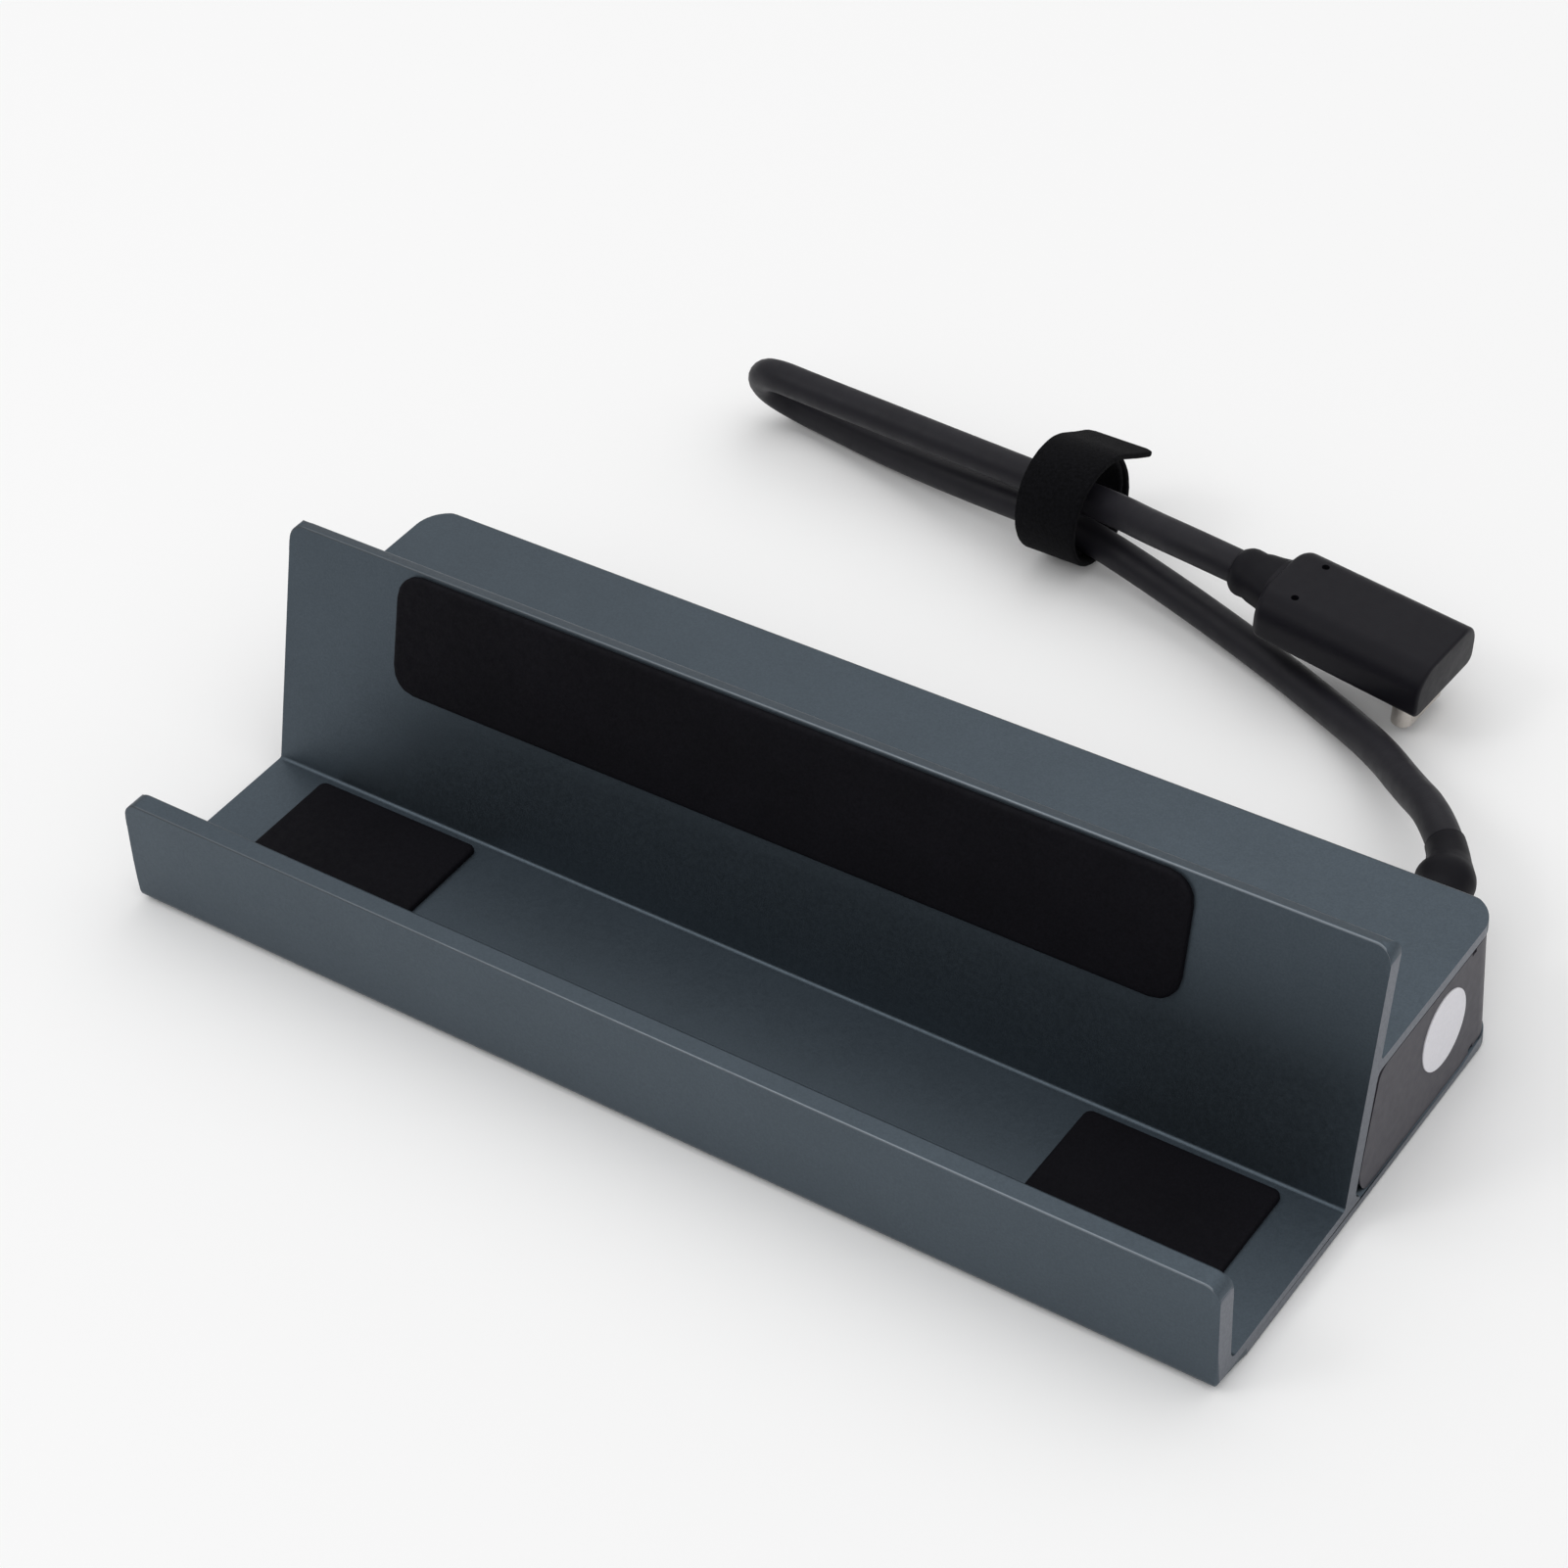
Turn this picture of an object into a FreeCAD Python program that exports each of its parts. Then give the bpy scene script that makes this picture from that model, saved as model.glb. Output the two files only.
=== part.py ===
"""Handheld console dock with its folded connecting cable, in millimetres.

The dock is one aluminium profile (front lip, floor, leaning backrest, rear shelf and base plate).
A moulded port housing slides into the profile from behind and carries the circuit board.
X runs along the dock, -Y is the front lip, +Y the rear ports, +Z is up, and z = 0 is the table.
"""
import FreeCAD, Part
import math
import os

V = FreeCAD.Vector

# Aluminium profile
length = 135.0
depth = 55.7
foot_lift = 0.3
lip_height = 13.0
lip_thickness = 2.4
lip_lean = 4.5
floor_thickness = 2.0
channel_width = 21.8
backrest_top = 29.4
backrest_lean = 17.5
backrest_thickness = 1.9
shelf_top = 16.5
shelf_thickness = 1.2
base_thickness = 1.4
plan_corner_radius = 4.0
front_corner_radius = 0.6
outer_edge_radius = 0.45
lip_edge_radius = 0.7
lip_foot_radius = 1.0
backrest_edge_radius = 0.75
end_corner_radius = 1.9
inner_corner_radius = 1.0

# Pads and feet
backrest_pad_end_margin = 18.3
backrest_pad_height = 13.9
backrest_pad_thickness = 0.8
backrest_pad_offset = -2.4
backrest_pad_top_margin = 0.6
backrest_pad_radius = 3.0
floor_pad_length = 22.0
floor_pad_end_margin = 6.7
floor_pad_offset = 0.7
floor_pad_thickness = 0.7
floor_pad_margin = 1.2
floor_pad_front_gap = 1.3
floor_pad_radius = 2.2
foot_end_margin = 11.5
foot_width = 6.0
foot_recess = 0.5
foot_inset = 5.2

# Port housing
housing_gap = 0.15
housing_wall = 1.5
housing_floor = 1.0
housing_corner_radius = 2.2
backrest_clearance = 0.5
post_height = 1.2
post_diameter = 4.4
notch_width = 0.9
notch_depth = 0.5
notch_from_rear = 5.6

# Circuit board
board_thickness = 1.2
board_depth = 19.6
board_end_gap = 5.35
board_rear_gap = 1.3
board_offset = -1.0
screw_diameter = 2.0
screw_fit = 0.1
pan_head_diameter = 3.6
pan_head_height = 1.2
post_inset_x = 4.0
post_inset_y = 4.0
housing_screw_count = 4
housing_screw_spacing = 21.0
countersunk_head_diameter = 3.6
countersunk_head_height = 0.8

# Chips and coils that stand on the board
hub_chip_size = 7.0
hub_chip_height = 0.9
network_chip_size = 6.0
network_chip_height = 0.9
video_chip_size = 5.0
video_chip_height = 0.8
chip_front_gap = 0.9
capacitor_size = 1.6
capacitor_height = 1.2
capacitor_pitch = 3.2
capacitor_count = 5
inductor_size = 4.4
inductor_height = 2.4
inductor_pitch = 7.0

# Sockets, in a row between the left end wall and the strain relief
sheet_metal = 0.35
socket_reach = 0.2
cutout_gap = 0.15
data_width = 13.1
data_height = 5.7
data_depth = 14.0
data_count = 3
data_tongue_width = 11.1
data_tongue_thickness = 1.8
data_tongue_depth = 11.0
video_width = 15.0
video_height = 5.6
video_depth = 11.5
video_taper = 1.6
video_tongue_width = 10.4
video_tongue_thickness = 1.0
video_tongue_depth = 9.0
power_width = 8.94
power_height = 3.26
power_depth = 8.0
power_tongue_width = 6.6
power_tongue_thickness = 0.7
power_tongue_depth = 6.0
network_width = 15.9
network_height = 11.6
network_depth = 15.5
network_bottom_gap = 0.3
network_port_width = 11.8
network_port_height = 6.8
network_port_depth = 11.5
network_key_width = 6.0
network_key_height = 1.6
network_wall_below = 1.5
socket_end_gap = 8.5
socket_screw_room = 4.6
network_contact_count = 8
network_contact_pitch = 1.02
network_contact_width = 0.45

# Sticker on the right end of the housing
sticker_diameter = 8.8
sticker_thickness = 0.12
sticker_from_front = 44.0
sticker_height = 9.6

# Cable and its strain relief at the dock
cable_diameter = 4.0
relief_from_end = 10.0
relief_height = 8.5
relief_root_diameter = 5.6
relief_flange_diameter = 8.6
relief_flange_thickness = 1.0
relief_neck_diameter = 5.6
relief_straight = 5.0
relief_bend_radius = 13.0
relief_bend_angle = 41.0
relief_bell = [(0.0, 5.4), (0.2, 5.7), (0.38, 6.3), (0.52, 6.1), (0.75, 5.0), (1.0, 4.3)]
inner_lead_length = 5.0
anchor_width = 7.0
anchor_shift = 1.0
anchor_depth = 5.0
anchor_height = 5.2

# Plug at the cable's far end
plug_length = 21.4
plug_width = 12.4
plug_thickness = 5.6
plug_top_radius = 2.9
plug_bottom_radius = 0.7
plug_shoulder = 0.8
plug_corner_radius = 1.3
plug_end = (40.3, 67.1)
plug_yaw = -2.6
plug_pitch = 6.3
plug_neck_length = 5.0
plug_neck_width = 7.2
plug_neck_height = 4.9
plug_neck_collar = 6.0
pin_hole_diameter = 0.9
pin_hole_depth = 0.6
pin_hole_spacing = 6.4
pin_hole_from_neck = 4.2
shell_width = 8.34
shell_thickness = 2.56
shell_wall = 0.3
shell_length = 5.6
shell_from_end = 2.4
insert_gap = 0.04
insert_wall = 0.55
insert_recess = 0.3

# Strap round the folded cable
strap_centre = (-11.25, 74.4)
strap_radius = 7.3
strap_thickness = 1.5
strap_width = 6.2
strap_tail_thickness = 0.9
strap_tail_length = 5.6
strap_tail_skew = 4.4
strap_tail_flare = 0.6
strap_tail_droop = 18.0
strap_yaw = -1.0

# Route of the cable after the strain relief: hand-chosen corners of its centre line.
# The first two corners are worked out from the strain relief, and the last two from the plug.
route_middle = [
    (45.8, 49.6, 6.3),
    (39.2, 55.8, 3.8),
    (30.4, 61.0, 2.3),
    (18.0, 66.2, 2.1),
    (3.6, 70.6, 2.9),
    (-11.2, 73.9, 4.2),
    (-26.2, 75.5, 3.3),
    (-40.2, 78.0, 2.2),
    (-49.2, 79.7, 2.0),
    (-54.9, 80.5, 2.1),
    (-57.7, 79.1, 4.4),
    (-57.7, 77.1, 7.7),
    (-54.9, 75.7, 10.0),
    (-48.8, 75.3, 9.9),
    (-39.0, 75.3, 9.3),
    (-25.6, 74.7, 9.0),
    (-11.6, 73.7, 9.1),
    (-3.6, 72.4, 9.8),
    (1.7, 70.3, 10.9),
]
first_run = 4.6
last_run = 5.6
arc_share = 0.45

# Values that follow from the sizes above
floor_top = foot_lift + floor_thickness
base_top = foot_lift + base_thickness
shelf_z = foot_lift + shelf_top
shelf_under = shelf_z - shelf_thickness
lip_z = foot_lift + lip_height
top_z = foot_lift + backrest_top
lean = math.radians(backrest_lean)
lip_slope = math.tan(math.radians(lip_lean))
front_y = -depth / 2
rear_y = depth / 2
channel_back_y = front_y + lip_thickness + channel_width
housing_side_x = length / 2 - housing_gap
housing_rear_y = rear_y - housing_gap
housing_bottom = base_top + housing_gap
housing_top = shelf_under - housing_gap
tray_top = housing_bottom + housing_floor
board_bottom = tray_top + post_height
board_top = board_bottom + board_thickness
panel_inner_y = housing_rear_y - housing_wall
board_rear_y = panel_inner_y - board_rear_gap
board_front_y = board_rear_y - board_depth
socket_mouth_y = housing_rear_y - socket_reach
backrest_pad_length = length - 2 * backrest_pad_end_margin
floor_pad_spacing = length - 2 * floor_pad_end_margin - floor_pad_length
foot_length = length - 2 * foot_end_margin
board_length = 2 * (housing_side_x - housing_wall - board_end_gap)
relief_x = length / 2 - relief_from_end
row_left = -housing_side_x + housing_wall + socket_end_gap
row_right = relief_x - relief_flange_diameter / 2
socket_widths = network_width + data_count * data_width + video_width + power_width
socket_gap = (row_right - row_left - socket_widths - 2 * socket_screw_room) / (data_count + 1)
network_x = row_left + network_width / 2
data_last_x = network_x + network_width / 2 + socket_screw_room + data_width / 2
data_pitch = data_width + socket_gap
data_first_x = data_last_x + (data_count - 1) * data_pitch
video_x = data_first_x + data_width / 2 + socket_gap + video_width / 2
power_x = row_right - socket_screw_room - power_width / 2


def rounded_wire(corners, place):
    """Closed wire through (u, v, radius) corners, with each corner turned into a tangent arc."""
    edges = []
    stretches = []
    count = len(corners)
    for index in range(count):
        here = V(corners[index][0], corners[index][1], 0)
        back = V(corners[index - 1][0], corners[index - 1][1], 0) - here
        ahead = V(corners[(index + 1) % count][0], corners[(index + 1) % count][1], 0) - here
        radius = corners[index][2]
        back.normalize()
        ahead.normalize()
        half_angle = math.acos(max(-1.0, min(1.0, back.dot(ahead)))) / 2
        reach = radius / math.tan(half_angle)
        middle = back + ahead
        if radius > 0:
            middle.normalize()
        to_arc = radius / math.sin(half_angle) - radius
        stretches.append((here + back * reach, here + middle * to_arc, here + ahead * reach, radius))
    for index in range(count):
        start, middle, end, radius = stretches[index]
        following = stretches[(index + 1) % count][0]
        if radius > 0:
            arc = Part.Arc(place(start.x, start.y), place(middle.x, middle.y), place(end.x, end.y))
            edges.append(arc.toShape())
        if (following - end).Length > 1e-6:
            line = Part.LineSegment(place(end.x, end.y), place(following.x, following.y))
            edges.append(line.toShape())
    return Part.Wire(edges)


def prism(corners, place, travel):
    """Solid swept straight from a rounded outline."""
    return Part.Face(rounded_wire(corners, place)).extrude(travel)


def upright_block(x_range, y_range, z_range, radius=0.0):
    """Block with its vertical corners rounded."""
    x_low, x_high = x_range
    y_low, y_high = y_range
    z_low, z_high = z_range
    corners = [(x_low, y_low, radius), (x_high, y_low, radius), (x_high, y_high, radius), (x_low, y_high, radius)]
    return prism(corners, lambda u, v: V(u, v, z_low), V(0, 0, z_high - z_low))


def port_block(x_middle, z_middle, width, height, radius, y_range):
    """Block along Y with its four long edges rounded, for ports and their shells."""
    y_low, y_high = y_range
    x_low, x_high = x_middle - width / 2, x_middle + width / 2
    z_low, z_high = z_middle - height / 2, z_middle + height / 2
    corners = [(x_low, z_low, radius), (x_high, z_low, radius), (x_high, z_high, radius), (x_low, z_high, radius)]
    return prism(corners, lambda u, v: V(u, y_low, v), V(0, y_high - y_low, 0))


def front_face_y(z):
    """Y of the backrest's front face at a height."""
    return channel_back_y + (z - floor_top) * math.tan(lean)


def back_face_y(z):
    """Y of the backrest's rear face at a height."""
    return front_face_y(z) + backrest_thickness / math.cos(lean)


def lip_outer_y(z):
    """Y of the lip's outer face at a height."""
    return front_y + (z - foot_lift) * lip_slope


def lip_inner_y(z):
    """Y of the lip's inner face at a height."""
    return lip_outer_y(z) + lip_thickness


def plan_block(side_x, rear, rear_radius, z_low, z_high):
    """Plan outline of the dock as a block: square front, rounded rear corners."""
    corners = [
        (-side_x, front_y, front_corner_radius),
        (side_x, front_y, front_corner_radius),
        (side_x, rear, rear_radius),
        (-side_x, rear, rear_radius),
    ]
    return prism(corners, lambda u, v: V(u, v, z_low), V(0, 0, z_high - z_low))


def foot_places():
    """Front and rear Y of the two foot strips."""
    return {
        "front": front_y + foot_inset + foot_width / 2,
        "rear": rear_y - foot_inset - foot_width / 2,
    }


def housing_screw_places():
    """X of the screws that hold the housing, all under the rear foot strip."""
    first = -(housing_screw_count - 1) / 2 * housing_screw_spacing
    return [first + index * housing_screw_spacing for index in range(housing_screw_count)]


def board_screw_places():
    """X and Y of the four screws of the circuit board."""
    half = board_length / 2 - post_inset_x
    low_y = board_front_y + post_inset_y
    high_y = board_rear_y - post_inset_y
    left = board_offset - half
    right = board_offset + half
    beside_network = network_x + (network_width + socket_screw_room) / 2
    beside_power = power_x + (power_width + socket_screw_room) / 2
    return [(left, low_y), (right, low_y), (beside_network, high_y), (beside_power, high_y)]


def make_extrusion():
    """Profile drawn in Y and Z, swept along X, with rounded rear corners in plan."""
    top_back = top_z - backrest_thickness * math.sin(lean)
    profile = [
        (front_y, foot_lift, lip_foot_radius),
        (rear_y, foot_lift, outer_edge_radius),
        (rear_y, base_top, outer_edge_radius),
        (back_face_y(base_top), base_top, inner_corner_radius),
        (back_face_y(shelf_under), shelf_under, inner_corner_radius),
        (rear_y, shelf_under, outer_edge_radius / 2),
        (rear_y, shelf_z, outer_edge_radius),
        (back_face_y(shelf_z), shelf_z, outer_edge_radius),
        (back_face_y(top_back), top_back, backrest_edge_radius),
        (front_face_y(top_z), top_z, backrest_edge_radius),
        (channel_back_y, floor_top, outer_edge_radius),
        (lip_inner_y(floor_top), floor_top, inner_corner_radius),
        (lip_inner_y(lip_z), lip_z, lip_edge_radius),
        (lip_outer_y(lip_z), lip_z, lip_edge_radius),
    ]
    body = prism(profile, lambda u, v: V(-length / 2, u, v), V(length, 0, 0))
    plan = plan_block(length / 2, rear_y, plan_corner_radius, 0, top_z + 1)
    body = body.common(plan)
    for side_sign in (-1, 1):
        lip_range = (front_y - 1, lip_inner_y(lip_z) + 1)
        body = body.cut(end_corner(side_sign, lip_z, lip_range))
        body = body.cut(end_corner(side_sign, top_z, (channel_back_y, rear_y)))
    for middle_y in foot_places().values():
        half_x, half_y = foot_length / 2, foot_width / 2
        recess = upright_block(
            (-half_x, half_x),
            (middle_y - half_y, middle_y + half_y),
            (foot_lift, foot_lift + foot_recess),
            half_y * 0.999,
        )
        body = body.cut(recess)
    for x in housing_screw_places():
        body = body.cut(countersunk_screw(x, screw_fit))
    return body


def end_corner(side_sign, z_top, y_range):
    """What is cut away to round an upper end corner, seen from the front."""
    radius = end_corner_radius
    y_low, y_high = y_range
    x_pair = sorted((side_sign * (length / 2 - radius), side_sign * (length / 2 + 1)))
    corner = upright_block(x_pair, y_range, (z_top - radius, z_top + 1))
    centre = V(side_sign * (length / 2 - radius), y_low - 1, z_top - radius)
    return corner.cut(Part.makeCylinder(radius, y_high - y_low + 2, centre, V(0, 1, 0)))


def countersunk_screw(x, extra):
    """Countersunk screw through the base plate, or its hole when extra is a clearance."""
    middle_y = foot_places()["rear"]
    seat = foot_lift + foot_recess
    tip = board_bottom - screw_fit - extra
    head_top = seat + countersunk_head_height
    wide = countersunk_head_diameter / 2 + extra
    narrow = screw_diameter / 2 + extra
    cone = Part.makeCone(wide, narrow, head_top - seat, V(x, middle_y, seat))
    shank = Part.makeCylinder(narrow, tip - head_top + extra, V(x, middle_y, head_top))
    return cone.fuse(shank)


def make_housing():
    """Open tray with a rear panel and two end walls that wrap the rear corners."""
    side = [
        (back_face_y(housing_bottom) + backrest_clearance, housing_bottom, housing_corner_radius),
        (housing_rear_y, housing_bottom, 0),
        (housing_rear_y, housing_top, 0),
        (back_face_y(housing_top) + backrest_clearance, housing_top, housing_corner_radius),
    ]
    outer = prism(side, lambda u, v: V(-housing_side_x, u, v), V(2 * housing_side_x, 0, 0))
    outer = outer.common(
        plan_block(housing_side_x, housing_rear_y, plan_corner_radius - housing_gap, 0, top_z)
    )
    inner_x = housing_side_x - housing_wall
    inner = plan_block(inner_x, panel_inner_y, plan_corner_radius - housing_wall, tray_top, top_z)
    body = outer.cut(inner)
    posts = [(x, y) for x, y in board_screw_places()]
    posts += [(x, foot_places()["rear"]) for x in housing_screw_places()]
    for x, y in posts:
        body = body.fuse(Part.makeCylinder(post_diameter / 2, board_bottom - tray_top, V(x, y, tray_top)))
    for x in housing_screw_places():
        body = body.cut(countersunk_screw(x, 0.0))
    for x, y in board_screw_places():
        body = body.cut(pan_screw(x, y, 0.0))
    for cut in port_cutouts():
        body = body.cut(cut)
    for side_sign in (-1, 1):
        for z_range in ((housing_top - notch_depth, housing_top), (housing_bottom, housing_bottom + notch_depth)):
            x_pair = sorted((side_sign * housing_side_x, side_sign * (housing_side_x - notch_depth)))
            middle_y = rear_y - notch_from_rear
            body = body.cut(
                upright_block(x_pair, (middle_y - notch_width / 2, middle_y + notch_width / 2), z_range)
            )
    return body.removeSplitter()


def port_cutouts():
    """Holes of the rear panel, each the size of its socket plus a small gap."""
    through = (panel_inner_y - 1, housing_rear_y + 1)
    grow = 2 * cutout_gap
    cuts = []
    for x in data_places():
        cuts.append(port_block(x, data_middle_z(), data_width + grow, data_height + grow, 0.5, through))
    cuts.append(video_block(cutout_gap, through))
    cuts.append(
        port_block(
            power_x,
            power_middle_z(),
            power_width + grow,
            power_height + grow,
            (power_height + grow) / 2 * 0.999,
            through,
        )
    )
    cuts.append(
        port_block(network_x, network_middle_z(), network_width + grow, network_height + grow, 0.4, through)
    )
    hole = Part.makeCylinder(
        relief_neck_diameter / 2 + cutout_gap,
        through[1] - through[0],
        V(relief_x, through[0], relief_height),
        V(0, 1, 0),
    )
    cuts.append(hole)
    return cuts


def data_places():
    """X of the three data sockets, from the first towards the left end."""
    return [data_first_x - index * data_pitch for index in range(data_count)]


def data_middle_z():
    """Height of the middle of a data socket that stands on the board."""
    return board_top + data_height / 2


def power_middle_z():
    """Height of the middle of the power socket that stands on the board."""
    return board_top + power_height / 2


def network_middle_z():
    """Height of the middle of the network socket, which is sunk into a notch of the board."""
    return tray_top + network_bottom_gap + network_height / 2


def video_block(grow, y_range):
    """Outline of the video socket: wide top, narrow bottom with slanted lower corners."""
    half = video_width / 2 + grow
    low = board_top - grow
    high = board_top + video_height + grow
    corners = [
        (video_x - half + video_taper, low, 0.3),
        (video_x + half - video_taper, low, 0.3),
        (video_x + half, low + video_taper, 0.3),
        (video_x + half, high, 0.4),
        (video_x - half, high, 0.4),
        (video_x - half, low + video_taper, 0.3),
    ]
    return prism(corners, lambda u, v: V(u, y_range[0], v), V(0, y_range[1] - y_range[0], 0))


def pan_screw(x, y, extra):
    """Pan head screw of the board, or its hole when extra is a clearance."""
    tip = tray_top - housing_floor / 2
    shank = Part.makeCylinder(screw_diameter / 2 + extra, board_top - tip, V(x, y, tip))
    head = Part.makeCylinder(pan_head_diameter / 2 + extra, pan_head_height, V(x, y, board_top))
    return shank.fuse(head)


def make_board():
    """Board with a notch for the sunk network socket and clearance holes for its screws."""
    half = board_length / 2
    body = upright_block(
        (board_offset - half, board_offset + half),
        (board_front_y, board_rear_y),
        (board_bottom, board_top),
        1.0,
    )
    notch_half = network_width / 2 + 2 * cutout_gap
    notch_front = socket_mouth_y - network_depth - 2 * cutout_gap
    notch = upright_block(
        (network_x - notch_half, network_x + notch_half),
        (notch_front, board_rear_y + 1),
        (board_bottom - 1, board_top + 1),
    )
    body = body.cut(notch)
    for x, y in board_screw_places():
        body = body.cut(pan_screw(x, y, screw_fit))
    return body


def metal_socket(outer, inner, back_cover):
    """Folded metal shell: a tube open at the rear panel, closed inside the housing."""
    return outer.cut(inner).fuse(back_cover)


def make_data_socket(x):
    """Shell of one data socket."""
    y_back = socket_mouth_y - data_depth
    outer = port_block(x, data_middle_z(), data_width, data_height, 0.4, (y_back, socket_mouth_y))
    wall = 2 * sheet_metal
    inner = port_block(
        x,
        data_middle_z(),
        data_width - wall,
        data_height - wall,
        0.2,
        (y_back + data_depth - data_tongue_depth - 1.0, socket_mouth_y + 1),
    )
    return outer.cut(inner)


def make_data_tongue(x):
    """Plastic tongue of one data socket, on the inner back wall, nearer the top."""
    y_back = socket_mouth_y - data_tongue_depth - 1.0
    z_middle = data_middle_z() + (data_height - 2 * sheet_metal) / 2 - data_tongue_thickness / 2 - 0.5
    return port_block(
        x, z_middle, data_tongue_width, data_tongue_thickness, 0.2, (y_back, y_back + data_tongue_depth - 1.0)
    )


def make_video_socket():
    """Shell of the video socket."""
    y_back = socket_mouth_y - video_depth
    outer = video_block(0.0, (y_back, socket_mouth_y))
    inner = video_block(-sheet_metal, (socket_mouth_y - video_tongue_depth - 1.0, socket_mouth_y + 1))
    return outer.cut(inner)


def make_video_tongue():
    """Plastic tongue of the video socket."""
    y_back = socket_mouth_y - video_tongue_depth - 1.0
    z_middle = board_top + video_height / 2 + 0.4
    return port_block(
        video_x,
        z_middle,
        video_tongue_width,
        video_tongue_thickness,
        0.2,
        (y_back, y_back + video_tongue_depth - 1.0),
    )


def make_power_socket():
    """Seamless oval shell of the power socket."""
    y_back = socket_mouth_y - power_depth
    outer = port_block(
        power_x, power_middle_z(), power_width, power_height, power_height / 2 * 0.999, (y_back, socket_mouth_y)
    )
    wall = 2 * sheet_metal
    inner_height = power_height - wall
    inner = port_block(
        power_x,
        power_middle_z(),
        power_width - wall,
        inner_height,
        inner_height / 2 * 0.999,
        (socket_mouth_y - power_tongue_depth - 1.0, socket_mouth_y + 1),
    )
    return outer.cut(inner)


def make_power_tongue():
    """Thin middle tongue of the power socket."""
    y_back = socket_mouth_y - power_tongue_depth - 1.0
    return port_block(
        power_x,
        power_middle_z(),
        power_tongue_width,
        power_tongue_thickness,
        0.2,
        (y_back, y_back + power_tongue_depth - 0.6),
    )


def network_port_bottom():
    """Height of the lower edge of the network socket's opening."""
    return network_middle_z() - network_height / 2 + network_wall_below


def make_network_socket():
    """Network socket: a block with a stepped opening for the latch at its lower side."""
    y_back = socket_mouth_y - network_depth
    body = port_block(
        network_x, network_middle_z(), network_width, network_height, 0.3, (y_back, socket_mouth_y)
    )
    bottom = network_port_bottom()
    pocket_y = (socket_mouth_y - network_port_depth, socket_mouth_y + 1)
    key_top = bottom + network_key_height
    key = upright_block(
        (network_x - network_key_width / 2, network_x + network_key_width / 2),
        pocket_y,
        (bottom, key_top + 0.5),
    )
    pocket = upright_block(
        (network_x - network_port_width / 2, network_x + network_port_width / 2),
        pocket_y,
        (key_top, key_top + network_port_height),
    )
    return body.cut(key).cut(pocket)


def make_network_contacts():
    """Row of eight spring contacts that slant out of the socket's roof."""
    roof = network_port_bottom() + network_key_height + network_port_height
    y_root = socket_mouth_y - network_port_depth
    first = network_x - (network_contact_count - 1) / 2 * network_contact_pitch
    wires = []
    for index in range(network_contact_count):
        x_low = first + index * network_contact_pitch - network_contact_width / 2
        corners = [
            (y_root + 8.5, roof, 0),
            (y_root + 9.3, roof, 0),
            (y_root + 1.0, roof - 2.4, 0),
            (y_root, roof - 2.4, 0),
            (y_root, roof - 2.0, 0),
        ]
        wires.append(prism(corners, lambda u, v: V(x_low, u, v), V(network_contact_width, 0, 0)))
    return Part.makeCompound(wires)


def on_board(x, front_gap, size, height, radius=0.2):
    """Square component that stands on the board, a gap behind the board's front edge."""
    y_low = board_front_y + front_gap
    return upright_block(
        (x - size / 2, x + size / 2), (y_low, y_low + size), (board_top, board_top + height), radius
    )


def make_capacitors():
    """Row of chip capacitors in front of the video socket."""
    first = video_x - (capacitor_count - 1) / 2 * capacitor_pitch
    blocks = [
        on_board(first + index * capacitor_pitch, chip_front_gap, capacitor_size, capacitor_height, 0.1)
        for index in range(capacitor_count)
    ]
    return Part.makeCompound(blocks)


def make_inductors():
    """Two shielded coils of the power stage, in front of the power socket."""
    places = (power_x - inductor_pitch / 2, power_x + inductor_pitch / 2)
    return Part.makeCompound([on_board(x, chip_front_gap, inductor_size, inductor_height, 0.8) for x in places])


def relief_frame(angle):
    """Centre and direction of the strain relief's bent stretch after a turn."""
    turn = math.radians(angle)
    start_y = rear_y + relief_straight
    centre = V(
        relief_x - relief_bend_radius * (1 - math.cos(turn)),
        start_y + relief_bend_radius * math.sin(turn),
        relief_height,
    )
    return centre, V(-math.sin(turn), math.cos(turn), 0)


def ring_wire(centre, direction, diameter):
    """Circle as a closed wire."""
    return Part.Wire(Part.makeCircle(diameter / 2, centre, direction))


def make_cable_relief():
    """Strain relief: inner flange, neck through the panel, outer flange and a bent bell round the cable."""
    inner_flange = Part.makeCylinder(
        relief_flange_diameter / 2,
        relief_flange_thickness,
        V(relief_x, panel_inner_y - relief_flange_thickness, relief_height),
        V(0, 1, 0),
    )
    neck = Part.makeCylinder(
        relief_neck_diameter / 2,
        rear_y + 1 - panel_inner_y,
        V(relief_x, panel_inner_y, relief_height),
        V(0, 1, 0),
    )
    flange = Part.makeCylinder(
        relief_flange_diameter / 2,
        relief_flange_thickness,
        V(relief_x, housing_rear_y, relief_height),
        V(0, 1, 0),
    )
    sections = [ring_wire(V(relief_x, housing_rear_y, relief_height), V(0, 1, 0), relief_root_diameter)]
    for share, diameter in relief_bell:
        centre, direction = relief_frame(share * relief_bend_angle)
        sections.append(ring_wire(centre, direction, diameter))
    bell = Part.makeLoft(sections, True, False)
    return inner_flange.fuse([neck, flange, bell])


def make_inner_lead():
    """Stub of the cable inside the housing, from the strain relief to its anchor."""
    y_end = panel_inner_y - relief_flange_thickness
    return Part.makeCylinder(
        cable_diameter / 2,
        inner_lead_length,
        V(relief_x, y_end - inner_lead_length, relief_height),
        V(0, 1, 0),
    )


def make_cable_anchor():
    """Moulded block on the board that holds the cable's end."""
    y_high = panel_inner_y - relief_flange_thickness - inner_lead_length
    return upright_block(
        (relief_x - anchor_shift - anchor_width / 2, relief_x - anchor_shift + anchor_width / 2),
        (y_high - anchor_depth, y_high),
        (board_top, board_top + anchor_height),
        0.5,
    )


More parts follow.
